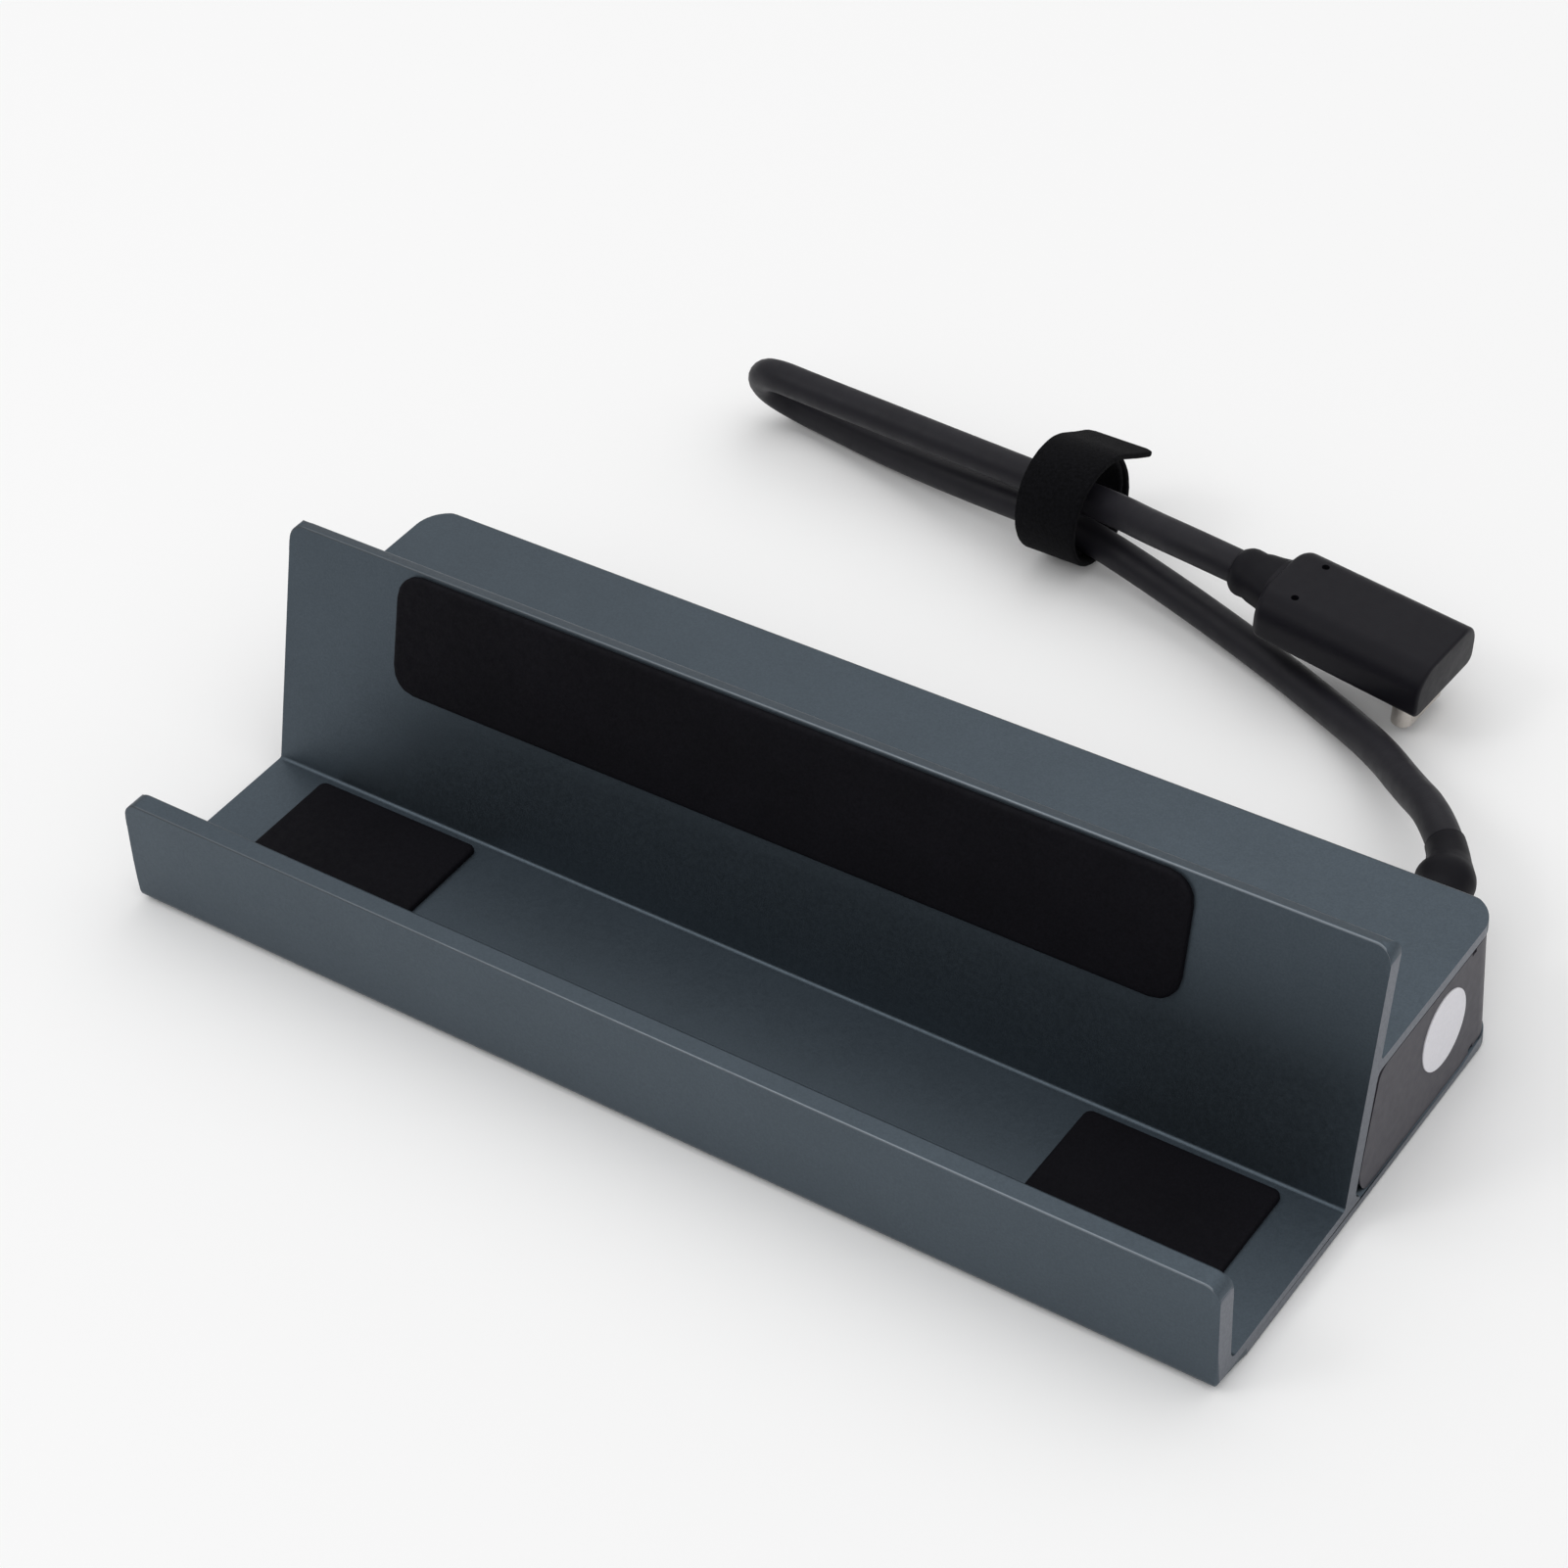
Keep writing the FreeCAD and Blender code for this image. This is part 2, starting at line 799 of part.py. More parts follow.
def plug_frame():
    """Directions of the plug: along it to its far end, across it, and out of its top face."""
    yaw = math.radians(plug_yaw)
    pitch = math.radians(plug_pitch)
    along = V(math.cos(yaw) * math.cos(pitch), math.sin(yaw) * math.cos(pitch), -math.sin(pitch))
    across = V(-math.sin(yaw), math.cos(yaw), 0)
    out = along.cross(across)
    return along, across, out


def plug_point(back, side, up):
    """Point of the plug, counted back from its far end, sideways, and up from its flat face."""
    along, across, out = plug_frame()
    tip_drop = (shell_from_end - shell_thickness / 2) * math.sin(math.radians(plug_pitch))
    lift = shell_length * out.z - tip_drop
    origin = V(plug_end[0], plug_end[1], lift)
    return origin - along * back + across * side + out * up


def plug_outline():
    """Cross-section of the plug: flat underside, widely rounded top corners."""
    half = plug_width / 2
    return [
        (-half, 0, plug_bottom_radius),
        (half, 0, plug_bottom_radius),
        (half, plug_thickness, plug_top_radius),
        (-half, plug_thickness, plug_top_radius),
    ]


def make_plug_body():
    """Angled plug body with rounded shoulders and two pin marks."""
    along, across, out = plug_frame()
    body = prism(plug_outline(), lambda u, v: plug_point(0, u, v), along * -plug_length)
    half = plug_width / 2
    neck_half = plug_neck_width / 2
    plan = [
        (-1, -half, 0),
        (-1, half, 0),
        (plug_length - plug_shoulder, half, plug_corner_radius),
        (plug_length, neck_half, 0),
        (plug_length, -neck_half, 0),
        (plug_length - plug_shoulder, -half, plug_corner_radius),
    ]
    body = body.common(prism(plan, lambda u, v: plug_point(u, v, -1), out * (plug_thickness + 2)))
    for side in (-1, 1):
        centre = plug_point(
            plug_length - pin_hole_from_neck, side * pin_hole_spacing / 2, plug_thickness - pin_hole_depth
        )
        body = body.cut(Part.makeCylinder(pin_hole_diameter / 2, pin_hole_depth + 1, centre, out))
    return body


def shell_prism(grow, up_low, up_high):
    """Oval prism round the shell's axis, between two heights from the plug's flat face."""
    half_wide = shell_width / 2 + grow
    half_thin = shell_thickness / 2 + grow
    radius = half_thin * 0.999
    middle = shell_from_end
    corners = [
        (middle - half_thin, -half_wide, radius),
        (middle + half_thin, -half_wide, radius),
        (middle + half_thin, half_wide, radius),
        (middle - half_thin, half_wide, radius),
    ]
    out = plug_frame()[2]
    return prism(corners, lambda u, v: plug_point(u, v, up_low), out * (up_high - up_low))


def make_plug_shell():
    """Metal shell that points down from the plug's flat face."""
    return shell_prism(0, -shell_length, 0).cut(shell_prism(-shell_wall, -shell_length - 1, 1))


def make_plug_insert():
    """Plastic frame inside the metal shell, with its contact slot."""
    outer = -shell_wall - insert_gap
    low = -shell_length + insert_recess
    body = shell_prism(outer, low, 0)
    return body.cut(shell_prism(outer - insert_wall, low - 1, -1.0))


def make_plug_relief():
    """Neck between cable and plug: a collar round the cable that widens to the plug's shoulder."""
    along = plug_frame()[0]
    middle_up = plug_thickness / 2

    def neck_section(back, width, height, radius):
        corners = [
            (-width / 2, middle_up - height / 2, radius),
            (width / 2, middle_up - height / 2, radius),
            (width / 2, middle_up + height / 2, radius),
            (-width / 2, middle_up + height / 2, radius),
        ]
        return rounded_wire(corners, lambda u, v: plug_point(back, u, v))

    collar = plug_neck_collar
    neck = Part.makeLoft(
        [
            neck_section(plug_length, plug_neck_width, plug_neck_height, plug_neck_height * 0.4),
            neck_section(plug_length + plug_neck_length * 0.7, collar, plug_neck_height, plug_neck_height * 0.45),
        ],
        True,
        True,
    )
    end = plug_point(plug_length + plug_neck_length, 0, middle_up)
    start = plug_point(plug_length + plug_neck_length * 0.6, 0, middle_up)
    tip = Part.makeCone(
        cable_diameter / 2 + 0.5, cable_diameter / 2 + 0.2, (end - start).Length, start, along * -1
    )
    return neck.fuse(tip)


def cable_route():
    """Corners of the cable's centre line from the dock's strain relief to the plug's neck."""
    start, out_of_relief = relief_frame(relief_bend_angle)
    after_start = start + out_of_relief * first_run
    end = plug_point(plug_length + plug_neck_length, 0, plug_thickness / 2)
    before_end = plug_point(plug_length + plug_neck_length + last_run, 0, plug_thickness / 2)
    return [start, after_start] + [V(*corner) for corner in route_middle] + [before_end, end]


def make_cable():
    """Cable as straight runs joined by tangent arcs, with its length and radii printed."""
    corners = cable_route()
    edges = []
    radii = []
    at = corners[0]
    path_length = 0.0
    for index in range(1, len(corners) - 1):
        back = corners[index - 1] - corners[index]
        ahead = corners[index + 1] - corners[index]
        shorter = min(back.Length, ahead.Length)
        back.normalize()
        ahead.normalize()
        half_turn = (math.pi - math.acos(back.dot(ahead))) / 2
        reach = arc_share * shorter
        radius = reach / math.tan(half_turn)
        middle = back + ahead
        middle.normalize()
        arc_start = corners[index] + back * reach
        arc_end = corners[index] + ahead * reach
        arc_middle = corners[index] + middle * (radius / math.cos(half_turn) - radius)
        edges.append(Part.LineSegment(at, arc_start).toShape())
        edges.append(Part.Arc(arc_start, arc_middle, arc_end).toShape())
        path_length += (arc_start - at).Length + 2 * half_turn * radius
        radii.append(radius)
        at = arc_end
    edges.append(Part.LineSegment(at, corners[-1]).toShape())
    path_length += (corners[-1] - at).Length
    path = Part.Wire(edges)
    first = corners[1] - corners[0]
    section = ring_wire(corners[0], first, cable_diameter)
    tube = path.makePipeShell([section], True, False)
    area = math.pi * cable_diameter * cable_diameter / 4
    print("cable length", round(path_length, 2), "volume share", round(tube.Volume / (area * path_length), 5))
    print("cable radii", [round(radius, 1) for radius in radii])
    return tube


def make_strap():
    """Closed band with a short skewed tail that leaves its top towards the rear."""
    yaw = math.radians(strap_yaw)
    axis = V(math.cos(yaw), math.sin(yaw), 0)
    side = V(-math.sin(yaw), math.cos(yaw), 0)
    centre = V(strap_centre[0], strap_centre[1], strap_radius)
    start = centre - axis * (strap_width / 2)
    band = Part.makeCylinder(strap_radius, strap_width, start, axis)
    band = band.cut(Part.makeCylinder(strap_radius - strap_thickness, strap_width, start, axis))
    droop = math.radians(strap_tail_droop)
    down_side = side * math.cos(droop) - V(0, 0, math.sin(droop))
    normal = side * math.sin(droop) + V(0, 0, math.cos(droop))
    base = centre + normal * (strap_radius - strap_tail_thickness)
    half = strap_width / 2
    corners = [
        (-half, 0, 0),
        (half, 0, 0),
        (half + strap_tail_skew * 0.45, strap_tail_length * 0.2, 0.8),
        (half + strap_tail_skew + strap_tail_flare, strap_tail_length * 0.85, 0.4),
        (-half + strap_tail_skew - strap_tail_flare, strap_tail_length, 0.4),
        (-half, strap_tail_length * 0.35, 0.8),
    ]
    tail = prism(corners, lambda u, v: base + axis * u + down_side * v, normal * strap_tail_thickness)
    inside = Part.makeCylinder(strap_radius - strap_thickness, strap_width * 3, centre - axis * strap_width * 1.5, axis)
    return band.fuse(tail.cut(inside))


def make_backrest_pad():
    """Rounded soft pad glued to the upper part of the backrest."""
    along = V(0, math.sin(lean), math.cos(lean))
    out = V(0, -math.cos(lean), math.sin(lean))
    corner = V(0, front_face_y(top_z), top_z) - along * backrest_pad_top_margin
    half = backrest_pad_length / 2
    middle = backrest_pad_offset
    radius = backrest_pad_radius
    corners = [
        (middle - half, 0, radius),
        (middle + half, 0, radius),
        (middle + half, -backrest_pad_height, radius),
        (middle - half, -backrest_pad_height, radius),
    ]
    return prism(corners, lambda u, v: corner + V(u, 0, 0) + along * v, out * backrest_pad_thickness)


def make_floor_pad(side):
    """Rounded soft pad on the channel floor, left or right of the middle."""
    middle = floor_pad_offset + side * floor_pad_spacing / 2
    return upright_block(
        (middle - floor_pad_length / 2, middle + floor_pad_length / 2),
        (lip_inner_y(floor_top) + floor_pad_front_gap, channel_back_y - floor_pad_margin),
        (floor_top, floor_top + floor_pad_thickness),
        floor_pad_radius,
    )


def make_foot(middle_y):
    """Rubber strip in a recess of the base."""
    half_x = foot_length / 2 - screw_fit
    half_y = foot_width / 2 - screw_fit
    return upright_block(
        (-half_x, half_x),
        (middle_y - half_y, middle_y + half_y),
        (0, foot_lift + foot_recess),
        half_y * 0.999,
    )


def make_sticker():
    """Blank round sticker on the housing's right end wall."""
    centre = V(housing_side_x, front_y + sticker_from_front, sticker_height)
    return Part.makeCylinder(sticker_diameter / 2, sticker_thickness, centre, V(1, 0, 0))


def make_parts():
    """All sub-parts by name."""
    feet = foot_places()
    parts = {
        "dock_extrusion": make_extrusion(),
        "port_housing": make_housing(),
        "backrest_pad": make_backrest_pad(),
        "floor_pad_left": make_floor_pad(-1),
        "floor_pad_right": make_floor_pad(1),
        "foot_front": make_foot(feet["front"]),
        "foot_rear": make_foot(feet["rear"]),
        "inspection_sticker": make_sticker(),
        "circuit_board": make_board(),
        "board_screws": Part.makeCompound([pan_screw(x, y, 0.0) for x, y in board_screw_places()]),
        "housing_screws": Part.makeCompound([countersunk_screw(x, 0.0) for x in housing_screw_places()]),
        "video_socket": make_video_socket(),
        "video_tongue": make_video_tongue(),
        "power_socket": make_power_socket(),
        "power_tongue": make_power_tongue(),
        "network_socket": make_network_socket(),
        "network_contacts": make_network_contacts(),
        "hub_chip": on_board(data_first_x - data_pitch, chip_front_gap, hub_chip_size, hub_chip_height),
        "network_chip": on_board(data_last_x, chip_front_gap, network_chip_size, network_chip_height),
        "video_chip": on_board(data_first_x, chip_front_gap, video_chip_size, video_chip_height),
        "capacitors": make_capacitors(),
        "inductors": make_inductors(),
        "cable_strain_relief": make_cable_relief(),
        "cable_inner_lead": make_inner_lead(),
        "cable_anchor": make_cable_anchor(),
        "dock_cable": make_cable(),
        "cable_strap": make_strap(),
        "plug_strain_relief": make_plug_relief(),
        "plug_body": make_plug_body(),
        "plug_shell": make_plug_shell(),
        "plug_insert": make_plug_insert(),
    }
    for index, x in enumerate(data_places(), start=1):
        parts[f"data_socket_{index}"] = make_data_socket(x)
        parts[f"data_tongue_{index}"] = make_data_tongue(x)
    return parts


os.makedirs("parts", exist_ok=True)
for name, shape in make_parts().items():
    shape.exportStep(f"parts/{name}.step")
    print(name, "valid" if shape.isValid() else "INVALID", len(shape.Solids), "solid", round(shape.Volume, 2))
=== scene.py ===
"""Visual model of a handheld console dock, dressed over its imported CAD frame.

Lengths typed here are millimetres, in the same frame as the CAD, and turn into metres with mm().
Only the camera and the lamps are placed in metres.
"""
import math

import bmesh
import bpy
from mathutils import Matrix, Vector
from mathutils.noise import noise


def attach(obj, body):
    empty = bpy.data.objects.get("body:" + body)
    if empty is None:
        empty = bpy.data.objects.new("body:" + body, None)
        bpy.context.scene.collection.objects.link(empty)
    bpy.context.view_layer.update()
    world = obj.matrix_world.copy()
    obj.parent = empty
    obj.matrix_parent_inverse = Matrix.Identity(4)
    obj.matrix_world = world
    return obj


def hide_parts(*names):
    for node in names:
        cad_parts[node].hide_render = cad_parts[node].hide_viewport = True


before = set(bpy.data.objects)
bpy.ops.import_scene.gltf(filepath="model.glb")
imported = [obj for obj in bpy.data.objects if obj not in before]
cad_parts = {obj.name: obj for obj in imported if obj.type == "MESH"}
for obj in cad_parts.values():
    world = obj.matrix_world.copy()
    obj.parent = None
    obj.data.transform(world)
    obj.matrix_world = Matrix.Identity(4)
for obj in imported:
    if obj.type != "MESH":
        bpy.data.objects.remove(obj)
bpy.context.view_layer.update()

# Dock profile
LENGTH = 135.0
DEPTH = 55.7
FRONT_Y = -DEPTH / 2
REAR_Y = DEPTH / 2
FOOT_LIFT = 0.3
BASE_TOP = 1.7
FLOOR_TOP = 2.3
CHANNEL_BACK_Y = -3.65
LIP_TOP = 13.3
LIP_THICKNESS = 2.4
LIP_LEAN = math.radians(4.5)
BACKREST_TOP = 29.7
BACKREST_THICKNESS = 1.9
BACKREST_LEAN = math.radians(17.5)
END_CORNER_RADIUS = 1.9
TOLERANCE = 0.02

# Fine edges: how far hard edges are softened, and the caps on the lip and the backrest
PROFILE_SOFTENING = 0.18
TRAY_SOFTENING = 0.15
HARD_EDGE = math.radians(28.0)
FLAT_ANGLE = math.radians(0.5)
CAP_SKIN = 0.012
CAP_OVERLAP = 1.3
CAP_STEPS = 10
LIP_EDGE_RADII = (0.25, 0.35)
BACKREST_EDGE_RADII = (0.25, 0.7)

# Ends of the base: round lower corners at the lip, and a thinner plate under the tray's end walls
BASE_END = {
    "split": 66.5,
    "start": 66.8,
    "radius": 1.2,
    "corner_cuts": (0.07, 0.25, 0.55, 0.9, 1.15),
    "behind_backrest": 0.8,
    "thickness_share": 0.55,
}
LIP_FADE = (FRONT_Y + 1.0, FRONT_Y + 5.5)
REAR_FADE = (REAR_Y - 7.5, REAR_Y - 4.2)

# Tray under the shelf, with the opening of its gaps and the longer end walls
TRAY = {
    "clearance": 0.5,
    "bottom": 1.85,
    "top": 15.45,
    "open_front": 0.35,
    "front_depth": 3.0,
    "front_rise": 5.0,
    "closing_below": -0.5,
    "open_top": 0.3,
    "top_part": 13.2,
    "low_part": 4.0,
    "end_split": 66.8,
    "end_start": 67.0,
    "longer_walls": 0.75,
}

# Pads
BACKREST_PAD = {
    "length": 98.4,
    "height": 13.9,
    "thickness": 0.8,
    "offset": -2.4,
    "top_margin": 0.6,
    "corner": 3.0,
}
FLOOR_PAD = {
    "length": 22.0,
    "spacing": 99.6,
    "offset": 0.7,
    "thickness": 0.7,
    "front": -23.99,
    "back": -4.85,
    "corner": 0.9,
}
PAD_RIM = 0.45
PAD_RIM_SHARE = 0.6
PAD_RIM_STEPS = (0.0, 0.03, 0.08, 0.16, 0.28, 0.45, 0.8, 1.4)
PAD_PITCH = 1.6
PAD_UNEVEN = {"height": 0.025, "frequency": 0.18, "rim": 1.5}

# Strain relief at the dock
RELIEF_X = 57.5
RELIEF_HEIGHT = 8.5
RELIEF_STRAIGHT = 5.0
RELIEF_BEND_RADIUS = 13.0
RELIEF_BEND = math.radians(41.0)

# Plug at the cable's far end
PLUG_ORIGIN = Vector((40.3, 67.1, 5.443))
PLUG_ALONG = Vector((0.99294, -0.04509, -0.10973))
PLUG_ACROSS = Vector((0.04536, 0.99897, 0.0))
PLUG_OUT = Vector((0.10962, -0.00498, 0.99396))
PLUG_LENGTH = 21.4
PLUG_WIDTH = 12.4
PLUG_THICKNESS = 5.6
PLUG_CORNER_RADIUS = 1.3
PLUG_REACH = 0.55
PLUG_DROP = 0.5
PLUG_RIM = 0.4
PLUG_SWELL = 0.5
PLUG_SHOULDER = {"turn": 76.0, "drop_share": 0.3, "neck_margin": 0.35, "low": 0.34}
PLUG_SECTION_RADII = (2.9, 1.0)
PLUG_NECK_WIDTH = 7.2
SHELL_SHARE = 0.8
PIN_MARK = {"back": 17.2, "side": 3.2, "diameter": 0.9, "depth": 0.6}

# Strap round the folded cable
STRAP_CENTRE = Vector((-11.4, 74.4, 7.3))
STRAP_RADIUS = 7.3
STRAP_WIDTH = 6.2
STRAP_LAYER = 0.72
STRAP_EDGE = 0.25
STRAP_YAW = math.radians(-1.0)
STRAP_WINDING = {
    "layer_gap": 0.05,
    "outer_start": 0.42,
    "outer_share": 0.16,
    "pressed_below": 0.8,
    "bulge": 0.35,
    "bulge_angle": 130.0,
    "ripple": 0.05,
}
STRAP_TAIL = {
    "droop": 30.0,
    "length": 5.7,
    "lift": 0.006,
    "corner": 0.8,
    "widen": 3.0,
    "widen_start": 44.0,
    "ripple": 0.06,
}

# Route of the cable from the dock's strain relief to the plug's neck, as in the CAD source
CABLE_DIAMETER = 4.0
CABLE_ROUTE = [
    (54.3, 41.4, 8.5),
    (51.3, 44.9, 8.5),
    (45.8, 49.6, 6.3),
    (39.2, 55.8, 3.8),
    (30.4, 61.0, 2.3),
    (18.0, 66.2, 2.1),
    (3.6, 70.6, 2.9),
    (-11.2, 73.9, 4.2),
    (-26.2, 75.5, 3.3),
    (-40.2, 78.0, 2.2),
    (-49.2, 79.7, 2.0),
    (-54.9, 80.5, 2.1),
    (-57.7, 79.1, 4.4),
    (-57.7, 77.1, 7.7),
    (-54.9, 75.7, 10.0),
    (-48.8, 75.3, 9.9),
    (-39.0, 75.3, 9.3),
    (-25.6, 74.7, 9.0),
    (-11.6, 73.7, 9.1),
    (-3.6, 72.4, 9.8),
    (1.7, 70.3, 10.9),
    (8.8, 68.5, 11.8),
    (14.4, 68.3, 11.2),
]

# Camera and light, placed in metres
CAMERA_PLACE = (0.1843, -0.2240, 0.2732)
CAMERA_RIGHT = (0.8153, 0.5731, -0.0829)
CAMERA_UP = (-0.3244, 0.5706, 0.7544)
CAMERA_LENS = 87.13
BRIGHTEST_SKY = (0.08, 0.05, 0.995)
HORIZON_STRENGTH = 0.3
OVERHEAD_STRENGTH = 1.22
LAMP_TARGET = (0.0, 0.01, 0.01)

# Distances in metres under which points of a mesh are joined
SAME_PLACE = 1e-6
SAME_POINT = 1e-7

# Colour sockets of a mix node
MIX_FIRST = 6
MIX_SECOND = 7
MIX_RESULT = 2


def mm(value):
    """Millimetres as metres, for a number or a vector."""
    if isinstance(value, (int, float)):
        return value * 0.001
    return Vector(value) * 0.001


def limited(value, low=0.0, high=1.0):
    """A value kept between two limits."""
    return min(high, max(low, value))


# Materials


class Surface:
    """A node material: a Principled shader with procedural detail in object space."""

    def __init__(self, name, colour, roughness, metallic=0.0, specular=0.5):
        self.material = bpy.data.materials.new(name)
        self.material.use_nodes = True
        self.nodes = self.material.node_tree.nodes
        self.links = self.material.node_tree.links
        self.shader = self.nodes["Principled BSDF"]
        self.colour = colour
        self.shader.inputs["Base Color"].default_value = (*colour, 1.0)
        self.shader.inputs["Roughness"].default_value = roughness
        self.shader.inputs["Metallic"].default_value = metallic
        self.shader.inputs["Specular IOR Level"].default_value = specular
        self.place = self.nodes.new("ShaderNodeTexCoord").outputs["Object"]
        self.height = None
        self.tint = None

    def along(self, axis):
        """The object-space coordinate of an axis."""
        node = self.nodes.new("ShaderNodeSeparateXYZ")
        self.links.new(self.place, node.inputs["Vector"])
        return node.outputs[axis]

    def noise(self, size, detail, stretch=None):
        """Noise whose features are about size millimetres across."""
        place = self.place
        if stretch is not None:
            mapping = self.nodes.new("ShaderNodeMapping")
            mapping.inputs["Scale"].default_value = stretch
            self.links.new(place, mapping.inputs["Vector"])
            place = mapping.outputs["Vector"]
        texture = self.nodes.new("ShaderNodeTexNoise")
        texture.inputs["Scale"].default_value = 1000.0 / size
        texture.inputs["Detail"].default_value = detail
        self.links.new(place, texture.inputs["Vector"])
        return texture.outputs["Fac"]

    def ranged(self, value, low, high, start=0.3, end=0.7):
        """Maps a value onto a range; noise lies mostly between the usual start and end."""
        node = self.nodes.new("ShaderNodeMapRange")
        node.inputs["From Min"].default_value = start
        node.inputs["From Max"].default_value = end
        node.inputs["To Min"].default_value = low
        node.inputs["To Max"].default_value = high
        self.links.new(value, node.inputs["Value"])
        return node.outputs["Result"]

    def mottle(self, value, low, high, start=0.3, end=0.7):
        """Multiplies the colour by a factor that runs from low to high over the surface."""
        node = self.nodes.new("ShaderNodeMix")
        node.data_type = "RGBA"
        if self.tint is None:
            darker = [channel * low for channel in self.colour]
            lighter = [channel * high for channel in self.colour]
            node.blend_type = "MIX"
            node.inputs[MIX_FIRST].default_value = (*darker, 1.0)
            node.inputs[MIX_SECOND].default_value = (*lighter, 1.0)
            self.links.new(self.ranged(value, 0.0, 1.0, start, end), node.inputs["Factor"])
        else:
            node.blend_type = "MULTIPLY"
            node.inputs["Factor"].default_value = 1.0
            self.links.new(self.tint, node.inputs[MIX_FIRST])
            grey = self.nodes.new("ShaderNodeCombineColor")
            factor = self.ranged(value, low, high, start, end)
            for channel in ("Red", "Green", "Blue"):
                self.links.new(factor, grey.inputs[channel])
            self.links.new(grey.outputs["Color"], node.inputs[MIX_SECOND])
        self.tint = node.outputs[MIX_RESULT]
        self.links.new(self.tint, self.shader.inputs["Base Color"])

    def shine(self, value, low, high):
        """Roughness that varies over the surface."""
        self.links.new(self.ranged(value, low, high), self.shader.inputs["Roughness"])

    def bump(self, value, depth, strength):
        """Adds relief of a depth in millimetres."""
        node = self.nodes.new("ShaderNodeBump")
        node.inputs["Strength"].default_value = strength
        node.inputs["Distance"].default_value = depth * 0.001
        self.links.new(value, node.inputs["Height"])
        if self.height is not None:
            self.links.new(self.height, node.inputs["Normal"])
        self.height = node.outputs["Normal"]
        self.links.new(self.height, self.shader.inputs["Normal"])

    def sheen(self, weight, roughness):
        """Soft light on fibres at grazing angles."""
        self.shader.inputs["Sheen Weight"].default_value = weight
        self.shader.inputs["Sheen Roughness"].default_value = roughness


def anodised_aluminium():
    """Bead-blasted slate anodising with a faint mottle."""
    surface = Surface("anodised_aluminium", (0.076, 0.0965, 0.1165), 0.44, metallic=0.88)
    surface.mottle(surface.noise(7.0, 3.0), 0.97, 1.03)
    surface.mottle(surface.noise(0.22, 2.0), 0.93, 1.07)
    surface.shine(surface.noise(0.5, 2.0), 0.4, 0.48)
    surface.bump(surface.noise(0.16, 3.0), 0.02, 0.25)
    return surface.material


def painted_highlight_aluminium():
    """Painted highlight on the upper front edges of the profile: a lighter colour that grows brighter
    towards the right end, on a finish smoother than its faces.
    """
    surface = Surface("painted_highlight_aluminium", (0.18, 0.205, 0.23), 0.33, metallic=0.9)
    # Painted highlight that fades towards the left end
    surface.mottle(surface.along("X"), 0.5, 1.0, -0.045, 0.05)
    surface.shine(surface.noise(1.5, 2.0), 0.3, 0.38)
    return surface.material


def cut_aluminium():
    """Lighter cut ends of the profile, with fine saw and brush lines."""
    surface = Surface("cut_aluminium", (0.14, 0.152, 0.178), 0.4, metallic=1.0)
    surface.mottle(surface.noise(0.3, 2.0, stretch=(1.0, 1.0, 6.0)), 0.9, 1.1)
    surface.shine(surface.noise(0.4, 2.0), 0.32, 0.42)
    surface.bump(surface.noise(0.2, 2.0, stretch=(1.0, 1.0, 6.0)), 0.01, 0.3)
    return surface.material


def moulded_plastic(name, colour, roughness, grain=0.25, depth=0.03, specular=0.5):
    """Plastic with a fine spark-eroded grain."""
    surface = Surface(name, colour, roughness, specular=specular)
    surface.mottle(surface.noise(4.0, 3.0), 0.97, 1.03)
    surface.shine(surface.noise(1.2, 2.0), roughness - 0.03, roughness + 0.04)
    surface.bump(surface.noise(grain, 3.0), depth, 0.4)
    return surface.material


def pad_rubber():
    """Soft near-black pad with open fine grain."""
    surface = Surface("pad_rubber", (0.0047, 0.0044, 0.0064), 0.7, specular=0.08)
    surface.mottle(surface.noise(9.0, 3.0), 0.85, 1.15)
    surface.mottle(surface.noise(0.3, 2.0), 0.8, 1.2)
    surface.shine(surface.noise(0.8, 2.0), 0.62, 0.78)
    surface.bump(surface.noise(0.25, 3.0), 0.05, 0.5)
    return surface.material


def jacket_rubber():
    """Matt cable jacket with a faint blue tone and a fine grain."""
    surface = Surface("jacket_rubber", (0.0108, 0.0102, 0.0142), 0.46, specular=0.22)
    surface.mottle(surface.noise(5.0, 3.0), 0.9, 1.1)
    surface.shine(surface.noise(1.5, 2.0), 0.44, 0.56)
    surface.bump(surface.noise(0.3, 3.0), 0.03, 0.35)
    return surface.material


def strap_cloth():
    """Brushed loop cloth, with soft fibres coarse and fine."""
    surface = Surface("strap_cloth", (0.0042, 0.0042, 0.0052), 0.9, specular=0.04)
    surface.mottle(surface.noise(0.35, 4.0), 0.6, 1.5)
    surface.bump(surface.noise(0.3, 4.0), 0.12, 0.9)
    surface.bump(surface.noise(0.1, 2.0), 0.05, 0.7)
    surface.sheen(0.015, 0.6)
    return surface.material


def plated_metal(name, colour, roughness):
    """Plated sheet metal with fine drawn lines."""
    surface = Surface(name, colour, roughness, metallic=1.0)
    surface.mottle(surface.noise(2.5, 2.0), 0.94, 1.05)
    surface.shine(surface.noise(0.2, 2.0, stretch=(1.0, 1.0, 8.0)), roughness - 0.06, roughness + 0.08)
    surface.bump(surface.noise(0.12, 2.0, stretch=(1.0, 1.0, 8.0)), 0.005, 0.3)
    return surface.material


def board_mask():
    """Solder mask with faint traces under it."""
    surface = Surface("board_mask", (0.012, 0.07, 0.035), 0.35)
    surface.mottle(surface.noise(1.2, 0.0, stretch=(1.0, 6.0, 1.0)), 0.7, 1.3, 0.45, 0.55)
    surface.bump(surface.noise(1.2, 0.0, stretch=(1.0, 6.0, 1.0)), 0.02, 0.4)
    return surface.material


